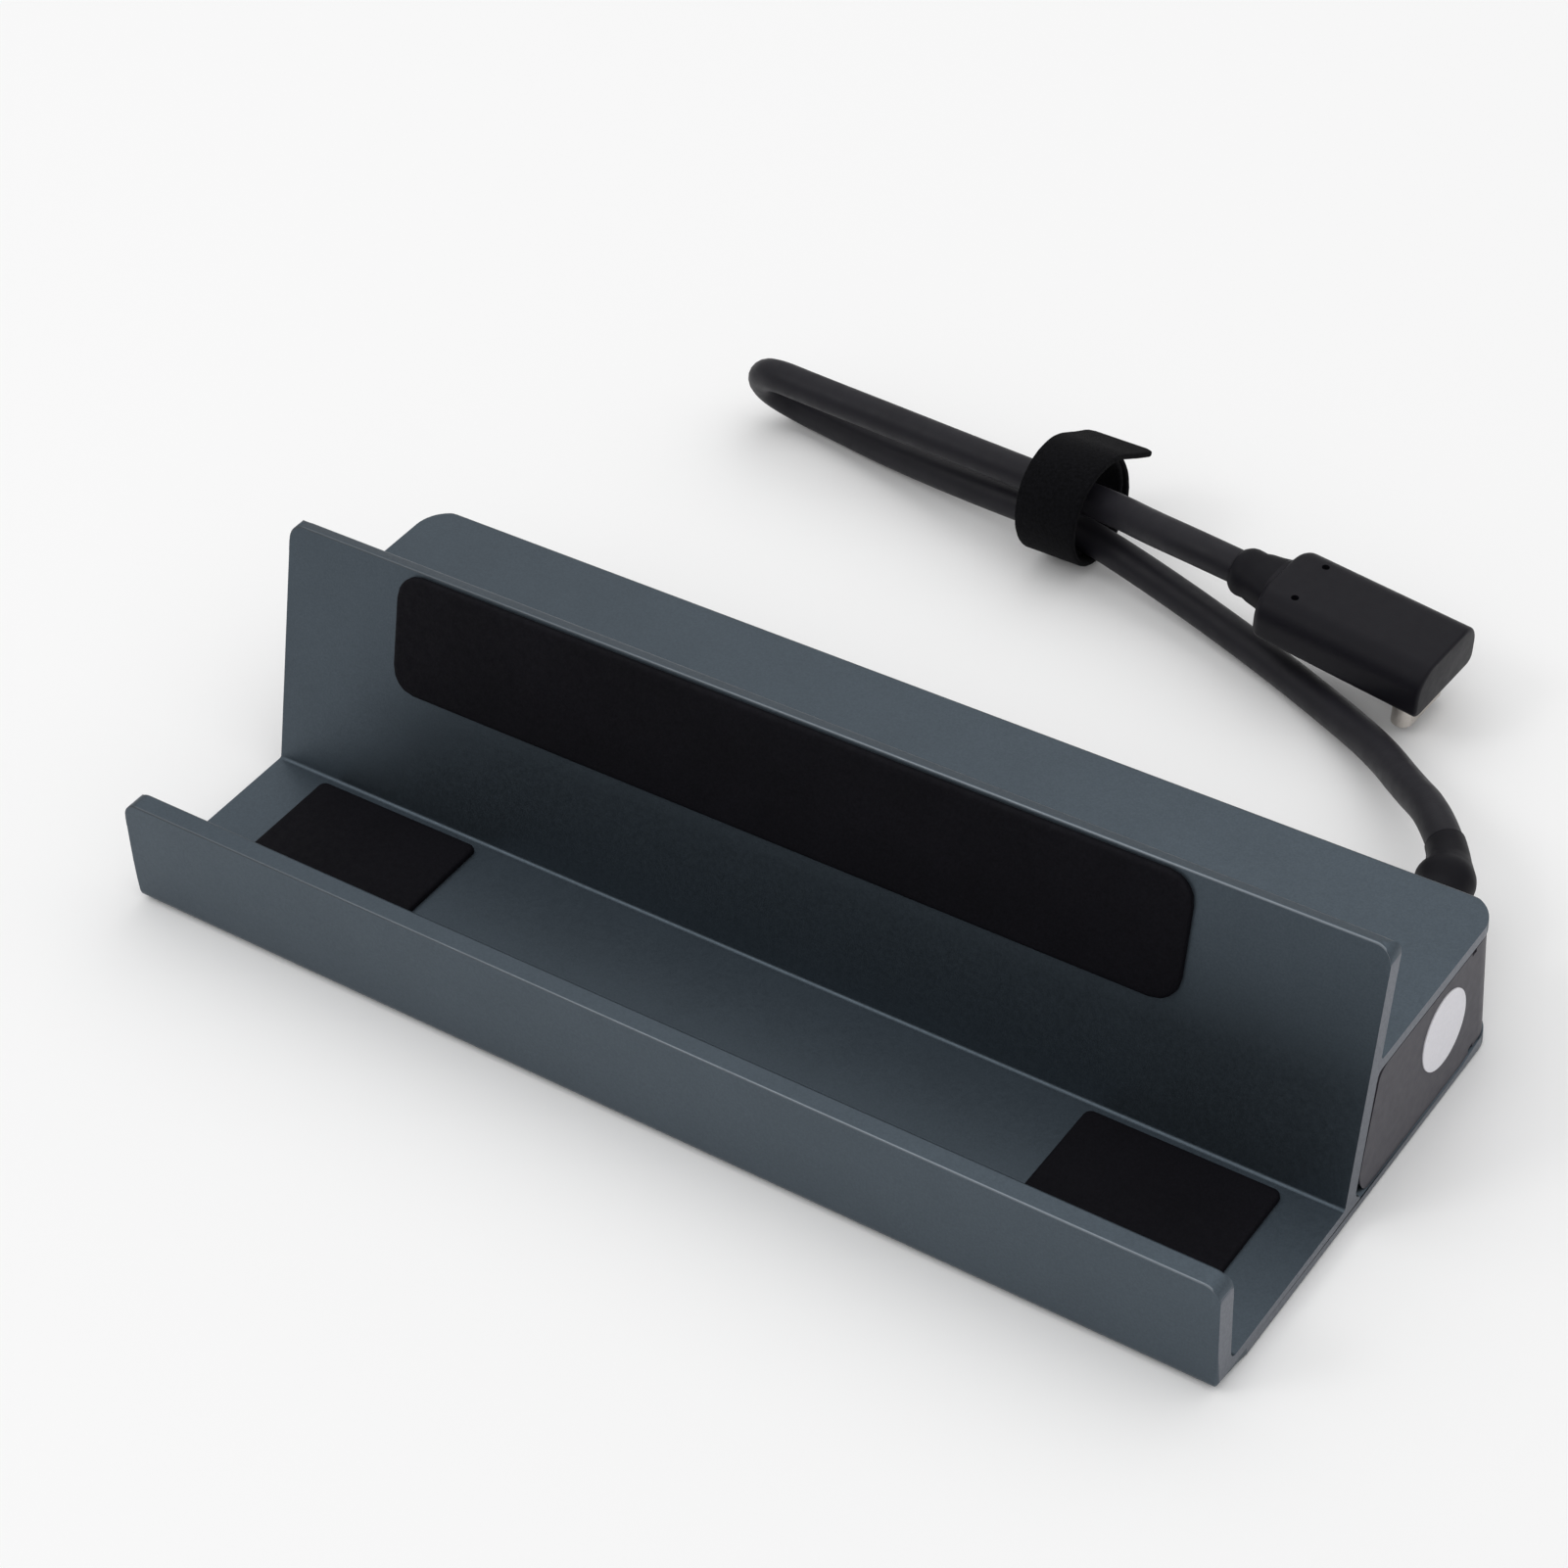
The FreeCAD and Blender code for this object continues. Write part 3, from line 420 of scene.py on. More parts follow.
def sticker_paper():
    """Blank white paper with a faint fibre."""
    surface = Surface("sticker_paper", (0.74, 0.73, 0.77), 0.55)
    surface.mottle(surface.noise(0.4, 4.0), 0.97, 1.03)
    surface.bump(surface.noise(0.2, 3.0), 0.01, 0.3)
    return surface.material


def make_materials():
    """All materials by name."""
    return {
        "aluminium": anodised_aluminium(),
        "cut_aluminium": cut_aluminium(),
        "painted_highlight_aluminium": painted_highlight_aluminium(),
        "housing_plastic": moulded_plastic("housing_plastic", (0.0475, 0.0445, 0.0555), 0.5, specular=0.38),
        "pad_rubber": pad_rubber(),
        "foot_rubber": moulded_plastic("foot_rubber", (0.02, 0.02, 0.022), 0.7, 0.4, 0.05),
        "sticker_paper": sticker_paper(),
        "board_mask": board_mask(),
        "screw_steel": plated_metal("screw_steel", (0.42, 0.42, 0.44), 0.32),
        "socket_steel": plated_metal("socket_steel", (0.55, 0.55, 0.57), 0.26),
        "tongue_plastic": moulded_plastic("tongue_plastic", (0.02, 0.02, 0.022), 0.45),
        "network_plastic": moulded_plastic("network_plastic", (0.022, 0.022, 0.024), 0.5),
        "contact_gold": plated_metal("contact_gold", (0.75, 0.52, 0.2), 0.24),
        "chip_plastic": moulded_plastic("chip_plastic", (0.022, 0.022, 0.024), 0.55),
        "capacitor_ceramic": moulded_plastic("capacitor_ceramic", (0.3, 0.2, 0.12), 0.5),
        "anchor_plastic": moulded_plastic("anchor_plastic", (0.05, 0.05, 0.055), 0.5),
        "jacket_rubber": jacket_rubber(),
        "relief_rubber": moulded_plastic("relief_rubber", (0.0056, 0.0053, 0.0078), 0.5, specular=0.11),
        "strap_cloth": strap_cloth(),
        "plug_plastic": moulded_plastic("plug_plastic", (0.0085, 0.008, 0.0112), 0.44, specular=0.12),
        "plug_steel": plated_metal("plug_steel", (0.62, 0.58, 0.54), 0.3),
    }


def paint_nodes(materials):
    """Materials for the CAD nodes that stay."""
    groups = {
        "foot_rubber": ["foot_front", "foot_rear"],
        "sticker_paper": ["inspection_sticker"],
        "board_mask": ["circuit_board"],
        "screw_steel": ["board_screws", "housing_screws"],
        "socket_steel": ["video_socket", "power_socket", "data_socket_1", "data_socket_2", "data_socket_3"],
        "tongue_plastic": [
            "video_tongue", "power_tongue", "data_tongue_1", "data_tongue_2", "data_tongue_3",
        ],
        "network_plastic": ["network_socket"],
        "contact_gold": ["network_contacts"],
        "chip_plastic": ["hub_chip", "network_chip", "video_chip", "inductors"],
        "capacitor_ceramic": ["capacitors"],
        "anchor_plastic": ["cable_anchor"],
        "jacket_rubber": ["cable_inner_lead"],
    }
    for name, nodes in groups.items():
        for node in nodes:
            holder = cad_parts[node]
            if not holder.material_slots:
                holder.data.materials.append(materials[name])
            for slot in holder.material_slots:
                slot.material = materials[name]


# Geometry helpers


def new_piece(name, mesh, material, nodes):
    """Adds a finished mesh as a piece that stands for CAD nodes."""
    piece = bpy.data.objects.new(name, mesh)
    bpy.context.scene.collection.objects.link(piece)
    mesh.materials.append(material)
    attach(piece, "root")
    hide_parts(*nodes)
    return piece


def bare_copy(name, node):
    """The mesh of a CAD node under a new name, without its materials."""
    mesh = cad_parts[node].data.copy()
    mesh.name = name
    mesh.materials.clear()
    return mesh


def smooth(mesh, angle):
    """Smooth shading, with edges sharper than an angle kept crisp."""
    mesh.polygons.foreach_set("use_smooth", [True] * len(mesh.polygons))
    mesh.set_sharp_from_angle(angle=math.radians(angle))


def weigh_normals(piece):
    """Shades broad faces flat, so that only the fine edges look round."""
    weighted = piece.modifiers.new("weighted_normals", "WEIGHTED_NORMAL")
    weighted.keep_sharp = True


def skin(rings):
    """A mesh skinned over closed rings of points in millimetres, with flat ends."""
    work = bmesh.new()
    loops = [[work.verts.new(mm(point)) for point in ring] for ring in rings]
    count = len(rings[0])
    for lower, upper in zip(loops, loops[1:]):
        for index in range(count):
            after = (index + 1) % count
            work.faces.new((lower[index], lower[after], upper[after], upper[index]))
    work.faces.new(list(reversed(loops[0])))
    work.faces.new(loops[-1])
    bmesh.ops.remove_doubles(work, verts=work.verts, dist=SAME_POINT)
    bmesh.ops.recalc_face_normals(work, faces=work.faces)
    return work


def finish_mesh(work, name, angle):
    """Turns working geometry into a shaded mesh."""
    mesh = bpy.data.meshes.new(name)
    work.to_mesh(mesh)
    work.free()
    smooth(mesh, angle)
    return mesh


def softened_copy(name, node, material, width, reshape):
    """A CAD node with small changes of shape, whose hard edges are rounded so that they catch light."""
    mesh = bare_copy(name, node)
    work = bmesh.new()
    work.from_mesh(mesh)
    bmesh.ops.remove_doubles(work, verts=work.verts, dist=SAME_PLACE)
    bmesh.ops.dissolve_limit(
        work, angle_limit=FLAT_ANGLE, verts=work.verts, edges=work.edges, use_dissolve_boundaries=False
    )
    reshape(work)
    work.normal_update()
    hard = [
        edge for edge in work.edges
        if len(edge.link_faces) == 2 and edge.calc_face_angle() > HARD_EDGE
    ]
    bmesh.ops.bevel(
        work, geom=hard, offset=mm(width), offset_type="OFFSET", segments=2, profile=0.5,
        affect="EDGES", clamp_overlap=True,
    )
    bmesh.ops.remove_doubles(work, verts=work.verts, dist=SAME_POINT)
    work.to_mesh(mesh)
    work.free()
    smooth(mesh, 30.0)
    piece = new_piece(name, mesh, material, [node])
    weigh_normals(piece)
    return piece


def split_shape(work, place, direction):
    """Cuts the faces of a shape along a plane, so that its sides can change apart."""
    parts = list(work.verts) + list(work.edges) + list(work.faces)
    bmesh.ops.bisect_plane(work, geom=parts, plane_co=mm(place), plane_no=direction, dist=SAME_PLACE)


def split_near_ends(work, x):
    """Prepares a shape for changes at its ends that fade out towards the rear."""
    split_shape(work, (-x, 0, 0), (1, 0, 0))
    split_shape(work, (x, 0, 0), (1, 0, 0))
    for fade_y in LIP_FADE + REAR_FADE:
        split_shape(work, (0, fade_y, 0), (0, 1, 0))


def faded(y, fade):
    """How much of a change applies at a depth: all of it in front of the fade, none behind it."""
    return limited((fade[1] - y) / (fade[1] - fade[0]))


def rounded_outline(corners, steps=6):
    """Outline through corners in Y and Z, each rounded by its own radius."""
    points = []
    for index, (y, z, radius) in enumerate(corners):
        corner = Vector((y, z))
        before = (Vector(corners[index - 1][:2]) - corner).normalized()
        after = (Vector(corners[(index + 1) % len(corners)][:2]) - corner).normalized()
        half = before.angle(after) / 2
        middle = corner + (before + after).normalized() * (radius / math.sin(half))
        first = corner + before * (radius / math.tan(half)) - middle
        last = corner + after * (radius / math.tan(half)) - middle
        for step in range(steps + 1):
            if radius > 0:
                outward = first.slerp(last, step / steps).normalized()
                points.append(middle + outward * radius)
            else:
                points.append(corner)
    return points


def section_points(half, low, high, top_radius, bottom_radius, steps):
    """Cross-section with rounded corners that fit it, as sideways and upwards places from the lower left."""
    top_radius = min(top_radius, half * 0.98, (high - low) * 0.6)
    bottom_radius = min(bottom_radius, half * 0.98, (high - low) * 0.39)
    corners = [
        (-half + bottom_radius, low + bottom_radius, bottom_radius, 180),
        (half - bottom_radius, low + bottom_radius, bottom_radius, 270),
        (half - top_radius, high - top_radius, top_radius, 0),
        (-half + top_radius, high - top_radius, top_radius, 90),
    ]
    points = []
    for u, v, radius, start in corners:
        for step in range(steps + 1):
            turn = math.radians(start + 90 * step / steps)
            points.append((u + radius * math.cos(turn), v + radius * math.sin(turn)))
    return points


def round_rings(stations, place, steps=40):
    """Rings of points round an axis, for stations that are a distance and a radius."""
    turns = [2 * math.pi * step / steps for step in range(steps)]
    rings = []
    for distance, radius in stations:
        centre, side, up = place(distance)
        rings.append([
            centre + side * radius * math.cos(turn) + up * radius * math.sin(turn)
            for turn in turns
        ])
    return rings


def eased(knots, count):
    """Smooth stations through a few knots, each a distance and a radius."""
    stations = []
    for index in range(len(knots) - 1):
        before = knots[max(0, index - 1)][1]
        here_at, here = knots[index]
        next_at, following = knots[index + 1]
        after = knots[min(len(knots) - 1, index + 2)][1]
        for step in range(count):
            t = step / count
            radius = 0.5 * (
                2 * here
                + (following - before) * t
                + (2 * before - 5 * here + 4 * following - after) * t * t
                + (3 * here - before - 3 * following + after) * t * t * t
            )
            stations.append((here_at + (next_at - here_at) * t, radius))
    stations.append(knots[-1])
    return stations


def cut_round_holes(piece, places, direction, diameter, depth):
    """Cuts shallow round holes into a piece, each from a point on its surface inwards."""
    for place in places:
        turn = direction.to_track_quat("Z", "Y").to_matrix().to_4x4()
        middle = Matrix.Translation(mm(place))
        bpy.ops.mesh.primitive_cylinder_add(vertices=24, radius=mm(diameter / 2), depth=mm(depth * 2))
        cutter = bpy.context.object
        cutter.matrix_world = middle @ turn
        bpy.context.view_layer.update()
        cut = piece.modifiers.new("hole", "BOOLEAN")
        cut.operation = "DIFFERENCE"
        cut.solver = "EXACT"
        cut.object = cutter
        bpy.context.view_layer.objects.active = piece
        bpy.ops.object.modifier_apply(modifier=cut.name)
        bpy.data.objects.remove(cutter, do_unlink=True)
    smooth(piece.data, 40.0)


# Profile and tray


def lip_faces(z):
    """Y of the lip's outer and inner faces at a height."""
    outer = FRONT_Y + (z - FOOT_LIFT) * math.tan(LIP_LEAN)
    return outer, outer + LIP_THICKNESS


def backrest_faces(z):
    """Y of the backrest's front and rear faces at a height."""
    front = CHANNEL_BACK_Y + (z - FLOOR_TOP) * math.tan(BACKREST_LEAN)
    return front, front + BACKREST_THICKNESS / math.cos(BACKREST_LEAN)


def round_base_ends(work):
    """Rounds the lip's lower corners, and makes the base thinner under the tray's end walls."""
    split_near_ends(work, BASE_END["split"])
    for height in BASE_END["corner_cuts"]:
        split_shape(work, (0, 0, FOOT_LIFT + height), (0, 0, 1))
    for vert in work.verts:
        x, y, z = vert.co * 1000
        if abs(x) < BASE_END["start"]:
            continue
        in_plate = z < BASE_TOP + TOLERANCE
        under_tray = y > backrest_faces(BASE_TOP)[1] + BASE_END["behind_backrest"]
        if in_plate and under_tray:
            thinner = (z - FOOT_LIFT) * (1 - BASE_END["thickness_share"])
            vert.co.z -= mm(thinner * faded(y, REAR_FADE))
        over = BASE_END["radius"] - (vert.co.z * 1000 - FOOT_LIFT)
        if over > 0:
            inset = BASE_END["radius"] - math.sqrt(max(0.0, BASE_END["radius"] ** 2 - over**2))
            vert.co.x -= mm(math.copysign(inset * faded(y, LIP_FADE), x))


def cap_stations():
    """Places along an upper edge, each with how far the round end corner falls there."""
    radius = END_CORNER_RADIUS
    stations = []
    for index in range(CAP_STEPS + 1):
        turn = math.radians(90 - 90 * index / CAP_STEPS)
        x = LENGTH / 2 - radius + radius * math.sin(turn)
        at_end = x > LENGTH / 2 - TOLERANCE
        stations.append((x + CAP_SKIN * at_end, radius * (1 - math.cos(turn))))
    return [(-x, fall) for x, fall in stations] + list(reversed(stations))


def make_edge_cap(name, faces, top, rear_fall, radii, materials):
    """Upper edge of the lip or the backrest: flat top, fine rounded edges and round end corners."""
    low = top - END_CORNER_RADIUS - CAP_OVERLAP
    rings = []
    for x, fall in cap_stations():
        front_z = top - fall
        rear_z = front_z - rear_fall
        corners = [
            (faces(low)[0] - CAP_SKIN, low, 0.0),
            (faces(front_z)[0] - CAP_SKIN, front_z + CAP_SKIN, radii[0]),
            (faces(rear_z)[1] + CAP_SKIN, rear_z + CAP_SKIN, radii[1]),
            (faces(low - rear_fall)[1] + CAP_SKIN, low - rear_fall, 0.0),
        ]
        rings.append([Vector((x, y, z)) for y, z in rounded_outline(corners)])
    mesh = finish_mesh(skin(rings), name, angle=40.0)
    piece = new_piece(name, mesh, materials["aluminium"], ["dock_extrusion"])
    mesh.materials.append(materials["cut_aluminium"])
    mesh.materials.append(materials["painted_highlight_aluminium"])
    for face in mesh.polygons:
        cut_end = abs(face.normal.x) > 0.97
        # Faces turned up and to the front get a painted highlight line along the upper front edge
        painted_highlight_face = face.normal.y < -0.3 and face.normal.z > 0.3
        if cut_end:
            face.material_index = 1
        elif painted_highlight_face:
            face.material_index = 2
    weigh_normals(piece)


def make_profile(materials):
    """The aluminium profile, whose lip and backrest have lighter cut ends."""
    piece = softened_copy(
        "dock_profile",
        "dock_extrusion",
        materials["aluminium"],
        PROFILE_SOFTENING,
        round_base_ends,
    )
    piece.data.materials.append(materials["cut_aluminium"])
    end_x = mm(LENGTH / 2 - TOLERANCE)
    for face in piece.data.polygons:
        if abs(face.normal.x) > 0.9 and abs(face.center.x) > end_x:
            face.material_index = 1
    make_edge_cap("lip_edge", lip_faces, LIP_TOP, 0.0, LIP_EDGE_RADII, materials)
    fall = BACKREST_THICKNESS * math.sin(BACKREST_LEAN)
    make_edge_cap("backrest_edge", backrest_faces, BACKREST_TOP, fall, BACKREST_EDGE_RADII, materials)


def widen_tray_gaps(work):
    """Opens the tray's gaps to the backrest and the shelf, and lets its end walls reach lower.

    The gap to the backrest opens with height, and closes a little near the base.
    """
    split_near_ends(work, TRAY["end_split"])
    for vert in work.verts:
        x, y, z = vert.co * 1000
        from_backrest = y - backrest_faces(z)[1] - TRAY["clearance"]
        near_front = limited(1 - from_backrest / TRAY["front_depth"])
        upwards = limited((z - TRAY["low_part"]) / TRAY["front_rise"], low=TRAY["closing_below"])
        vert.co.y += mm(TRAY["open_front"] * near_front * upwards)
        near_top = max(0.0, (z - TRAY["top_part"]) / (TRAY["top"] - TRAY["top_part"]))
        vert.co.z -= mm(TRAY["open_top"] * near_top)
        if abs(x) > TRAY["end_start"] and z < TRAY["low_part"]:
            near_bottom = (TRAY["low_part"] - z) / (TRAY["low_part"] - TRAY["bottom"])
            vert.co.z -= mm(TRAY["longer_walls"] * near_bottom * faded(y, REAR_FADE))


def make_tray(material):
    """The dark housing under the shelf."""
    softened_copy("port_tray", "port_housing", material, TRAY_SOFTENING, widen_tray_gaps)


# Pads


def pad_steps(length, radius):
    """Places along one side of a pad, closest together near its rounded rim."""
    half = length / 2
    rim = [step for step in PAD_RIM_STEPS if step < radius] + [radius]
    middle = length - 2 * radius
    count = max(2, round(middle / PAD_PITCH))
    steps = [-half + step for step in rim]
    steps += [-half + radius + middle * index / count for index in range(1, count)]
    steps += [half - step for step in reversed(rim)]
    return steps


def rounded_corner(u, v, half_u, half_v, radius):
    """Moves a point of a square-cornered grid onto a grid with round corners."""
    over_u = abs(u) - (half_u - radius)
    over_v = abs(v) - (half_v - radius)
    if over_u <= 0 or over_v <= 0:
        return u, v
    share_u = over_u / radius
    share_v = over_v / radius
    round_u = share_u * math.sqrt(1 - share_v * share_v / 2) * radius
    round_v = share_v * math.sqrt(1 - share_u * share_u / 2) * radius
    return (
        math.copysign(half_u - radius + round_u, u),
        math.copysign(half_v - radius + round_v, v),
    )


def rim_distance(u, v, half_u, half_v, radius):
    """How far inside the rounded outline a point lies."""
    over_u = max(0.0, abs(u) - (half_u - radius))
    over_v = max(0.0, abs(v) - (half_v - radius))
    if over_u > 0 and over_v > 0:
        return radius - math.hypot(over_u, over_v)
    return min(half_u - abs(u), half_v - abs(v))


def soft_pad(name, node, size, radius, thickness, place, material):
    """Glued soft pad: flat underside, softly rounded rim and a faintly uneven top."""
    size_u, size_v = size
    half_u, half_v = size_u / 2, size_v / 2
    rim = min(PAD_RIM, thickness * PAD_RIM_SHARE)
    frequency = PAD_UNEVEN["frequency"]
    steps_u = pad_steps(size_u, radius)
    steps_v = pad_steps(size_v, radius)
    work = bmesh.new()
    top = []
    for v in steps_v:
        row = []
        for u in steps_u:
            x, y = rounded_corner(u, v, half_u, half_v, radius)
            inside = max(0.0, rim_distance(x, y, half_u, half_v, radius))
            drop = 0.0
            if inside < rim:
                drop = rim - math.sqrt(max(0.0, rim * rim - (rim - inside) ** 2))
            swell = min(1.0, inside / PAD_UNEVEN["rim"])
            wave = noise(Vector((x * frequency, y * frequency, thickness * 5)))
            uneven = PAD_UNEVEN["height"] * wave * swell
            row.append(work.verts.new(mm(place(x, y, thickness - drop + uneven))))
        top.append(row)
    for lower, upper in zip(top, top[1:]):
        for index in range(len(lower) - 1):
            work.faces.new((lower[index], lower[index + 1], upper[index + 1], upper[index]))
    border = [edge for edge in work.edges if len(edge.link_faces) == 1]
    skirt = bmesh.ops.extrude_edge_only(work, edges=border)["geom"]
    lowered = [item for item in skirt if isinstance(item, bmesh.types.BMVert)]
    down = (place(0, 0, 0) - place(0, 0, thickness - rim)) * 0.001
    bmesh.ops.translate(work, verts=lowered, vec=down)
    bottom = [edge for edge in work.edges if len(edge.link_faces) == 1]
    bmesh.ops.edgeloop_fill(work, edges=bottom)
    bmesh.ops.recalc_face_normals(work, faces=work.faces)
    piece = new_piece(name, finish_mesh(work, name, angle=50.0), material, [node])


def make_pads(material):
    """The pad on the backrest and the two pads on the channel floor."""
    along = Vector((0, math.sin(BACKREST_LEAN), math.cos(BACKREST_LEAN)))
    out = Vector((0, -math.cos(BACKREST_LEAN), math.sin(BACKREST_LEAN)))
    top_y = CHANNEL_BACK_Y + (BACKREST_TOP - FLOOR_TOP) * math.tan(BACKREST_LEAN)
    height = BACKREST_PAD["height"]
    top_edge = Vector((BACKREST_PAD["offset"], top_y, BACKREST_TOP)) - along * BACKREST_PAD["top_margin"]
    middle = top_edge - along * (height / 2)
    soft_pad(
        "backrest_soft_pad",
        "backrest_pad",
        (BACKREST_PAD["length"], height),
        BACKREST_PAD["corner"],
        BACKREST_PAD["thickness"],
        lambda u, v, w: middle + Vector((u, 0, 0)) + along * v + out * w,
        material,
    )
    depth = FLOOR_PAD["back"] - FLOOR_PAD["front"]
    for side, word in ((-1, "left"), (1, "right")):
        middle_x = FLOOR_PAD["offset"] + side * FLOOR_PAD["spacing"] / 2
        centre = Vector((middle_x, (FLOOR_PAD["back"] + FLOOR_PAD["front"]) / 2, FLOOR_TOP))
        soft_pad(
            f"floor_soft_pad_{word}",
            f"floor_pad_{word}",
            (FLOOR_PAD["length"], depth),
            FLOOR_PAD["corner"],
            FLOOR_PAD["thickness"],
            lambda u, v, w: centre + Vector((u, v, w)),
            material,
        )


# Cable and its strain relief


def relief_axis(distance):
    """Centre and two cross directions of the strain relief, at a distance from the housing's rear face."""
    start = Vector((RELIEF_X, REAR_Y, RELIEF_HEIGHT))
    if distance <= RELIEF_STRAIGHT:
        return start + Vector((0, distance, 0)), Vector((1, 0, 0)), Vector((0, 0, 1))
    turn = (distance - RELIEF_STRAIGHT) / RELIEF_BEND_RADIUS
    centre = start + Vector((
        -RELIEF_BEND_RADIUS * (1 - math.cos(turn)),
        RELIEF_STRAIGHT + RELIEF_BEND_RADIUS * math.sin(turn),
        0,
    ))
    return centre, Vector((math.cos(turn), math.sin(turn), 0)), Vector((0, 0, 1))


def make_dock_relief(material):
    """Strain relief: a flange at the housing, then a neck that swells to a bell and tapers to the cable."""
    total = RELIEF_STRAIGHT + RELIEF_BEND_RADIUS * RELIEF_BEND
    flange = [(-0.15, 4.15), (-0.05, 4.3), (0.7, 4.3), (0.85, 4.15), (0.9, 2.95)]
    neck = [(1.3, 2.8), (3.0, 2.66), (5.0, 2.6), (6.4, 2.66)]
    bell = [(7.3, 2.95), (8.1, 3.18), (8.9, 3.12), (9.8, 2.78)]
    taper = [(10.9, 2.44), (12.2, 2.26), (total - 0.5, 2.17), (total - 0.12, 2.16), (total, 2.06)]
    stations = flange + eased(neck + bell + taper, 4)
    mesh = finish_mesh(skin(round_rings(stations, relief_axis)), "dock_relief", angle=50.0)
    new_piece("dock_relief", mesh, material, ["cable_strain_relief"])


def make_cable(material):
    """The cable: a smooth spline that takes the route's points as its control points."""
    curve = bpy.data.curves.new("folded_cable", "CURVE")
    curve.dimensions = "3D"
    curve.bevel_depth = mm(CABLE_DIAMETER / 2)
    curve.bevel_resolution = 8
    curve.resolution_u = 16
    curve.use_fill_caps = True
    spline = curve.splines.new("NURBS")
    spline.points.add(len(CABLE_ROUTE) - 1)
    for point, place in zip(spline.points, CABLE_ROUTE):
        point.co = (*mm(place), 1.0)
    spline.order_u = 3
    spline.use_endpoint_u = True
    spline.use_smooth = True
    piece = bpy.data.objects.new("folded_cable", curve)
    bpy.context.scene.collection.objects.link(piece)
    curve.materials.append(material)
    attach(piece, "root")
    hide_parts("dock_cable")
    return piece


# Plug


def plug_place(back, side, up):
    """Point of the plug: back from its far end, sideways, and up from its flat face."""
    return PLUG_ORIGIN - PLUG_ALONG * back + PLUG_ACROSS * side + PLUG_OUT * up


def plug_sections():
    """Sections of the plug's body: place back, half width, lower and upper face."""
    half = PLUG_WIDTH / 2
    sections = []
    rim_steps = 5
    for index in range(rim_steps + 1):
        turn = math.radians(90 * index / rim_steps)
        inset = PLUG_RIM - PLUG_RIM * math.sin(turn)
        back = PLUG_RIM - PLUG_RIM * math.cos(turn) - PLUG_REACH
        sections.append((back, half - inset, inset - PLUG_DROP, PLUG_THICKNESS - inset))
    for back in (1.5, 4.0, 8.0, 12.0, 16.0, 18.5):
        low = -PLUG_DROP * max(0.0, 1 - back / PLUG_LENGTH)
        sections.append((back, half, low, PLUG_THICKNESS))
    radius = PLUG_CORNER_RADIUS
    corner_end = PLUG_LENGTH - PLUG_SWELL
    shoulder_steps = 8
    for index in range(shoulder_steps + 1):
        turn = math.radians(PLUG_SHOULDER["turn"] * index / shoulder_steps)
        inset = radius * (1 - math.cos(turn))
        drop = inset * PLUG_SHOULDER["drop_share"]
        back = corner_end - radius + radius * math.sin(turn)
        sections.append((back, half - inset, drop, PLUG_THICKNESS - drop))
    neck_half = PLUG_NECK_WIDTH / 2 + PLUG_SHOULDER["neck_margin"]
    low = PLUG_SHOULDER["low"]
    for share in (0.3, 0.6, 0.85, 1.0):
        wide = half - radius + (neck_half - half + radius) * share
        sections.append((corner_end + PLUG_SWELL * share * share, wide, low, PLUG_THICKNESS - low))
    return sections


def make_plug_body(material):
    """Angled plug: crisp far end, straight grip, rounded square shoulders and two pin marks."""
    rings = []
    for back, wide, low, high in plug_sections():
        points = section_points(wide, low, high, *PLUG_SECTION_RADII, steps=10)
        rings.append([plug_place(back, u, v) for u, v in points])
    mesh = finish_mesh(skin(rings), "plug_grip", angle=40.0)
    piece = new_piece("plug_grip", mesh, material, ["plug_body"])
    places = [plug_place(PIN_MARK["back"], side * PIN_MARK["side"], PLUG_THICKNESS) for side in (-1, 1)]
    cut_round_holes(piece, places, PLUG_OUT, PIN_MARK["diameter"], PIN_MARK["depth"])
    return piece


def rounded_share(share, power):
    """A cosine or sine made squarer by a power below one."""
    return math.copysign(abs(share) ** power, share)


def make_plug_neck(material):
    """Neck between plug and cable, squarer at the plug, with a round collar where the cable enters."""
    middle = PLUG_THICKNESS / 2
    collar_start = 24
    square_part = [
        (20.5, 3.95, 2.44), (21.6, 3.72, 2.42), (22.4, 3.46, 2.38), (23.4, 3.22, 2.38),
    ]
    collar = [
        (24.1, 3.1, 2.44), (24.6, 3.08, 2.54), (25.1, 3.04, 2.6), (25.6, 2.9, 2.56),
        (26.0, 2.62, 2.4), (26.3, 2.35, 2.22), (26.4, 2.12, 2.1),
    ]
    steps = 40
    rings = []
    for back, wide, tall in square_part + collar:
        power = 0.78 if back < collar_start else 0.95
        ring = []
        for step in range(steps):
            turn = 2 * math.pi * step / steps
            u = rounded_share(math.cos(turn), power) * wide
            v = rounded_share(math.sin(turn), power) * tall
            ring.append(plug_place(back, u, middle + v))
        rings.append(ring)
    mesh = finish_mesh(skin(rings), "plug_neck", angle=50.0)
    return new_piece("plug_neck", mesh, material, ["plug_strain_relief"])


def shortened_plug_part(name, node, material):
    """A CAD node of the plug's metal end, made a little shorter from the plug's flat face."""
    mesh = bare_copy(name, node)
    origin = mm(PLUG_ORIGIN)
    for point in mesh.vertices:
        depth = (point.co - origin).dot(PLUG_OUT)
        point.co -= PLUG_OUT * depth * (1 - SHELL_SHARE)
    smooth(mesh, 30.0)
    return new_piece(name, mesh, material, [node])


# Strap


def strap_directions():
    """Axis of the strap's ring and the level direction across it."""
    axis = Vector((math.cos(STRAP_YAW), math.sin(STRAP_YAW), 0))
    side = Vector((-math.sin(STRAP_YAW), math.cos(STRAP_YAW), 0))
    return axis, side


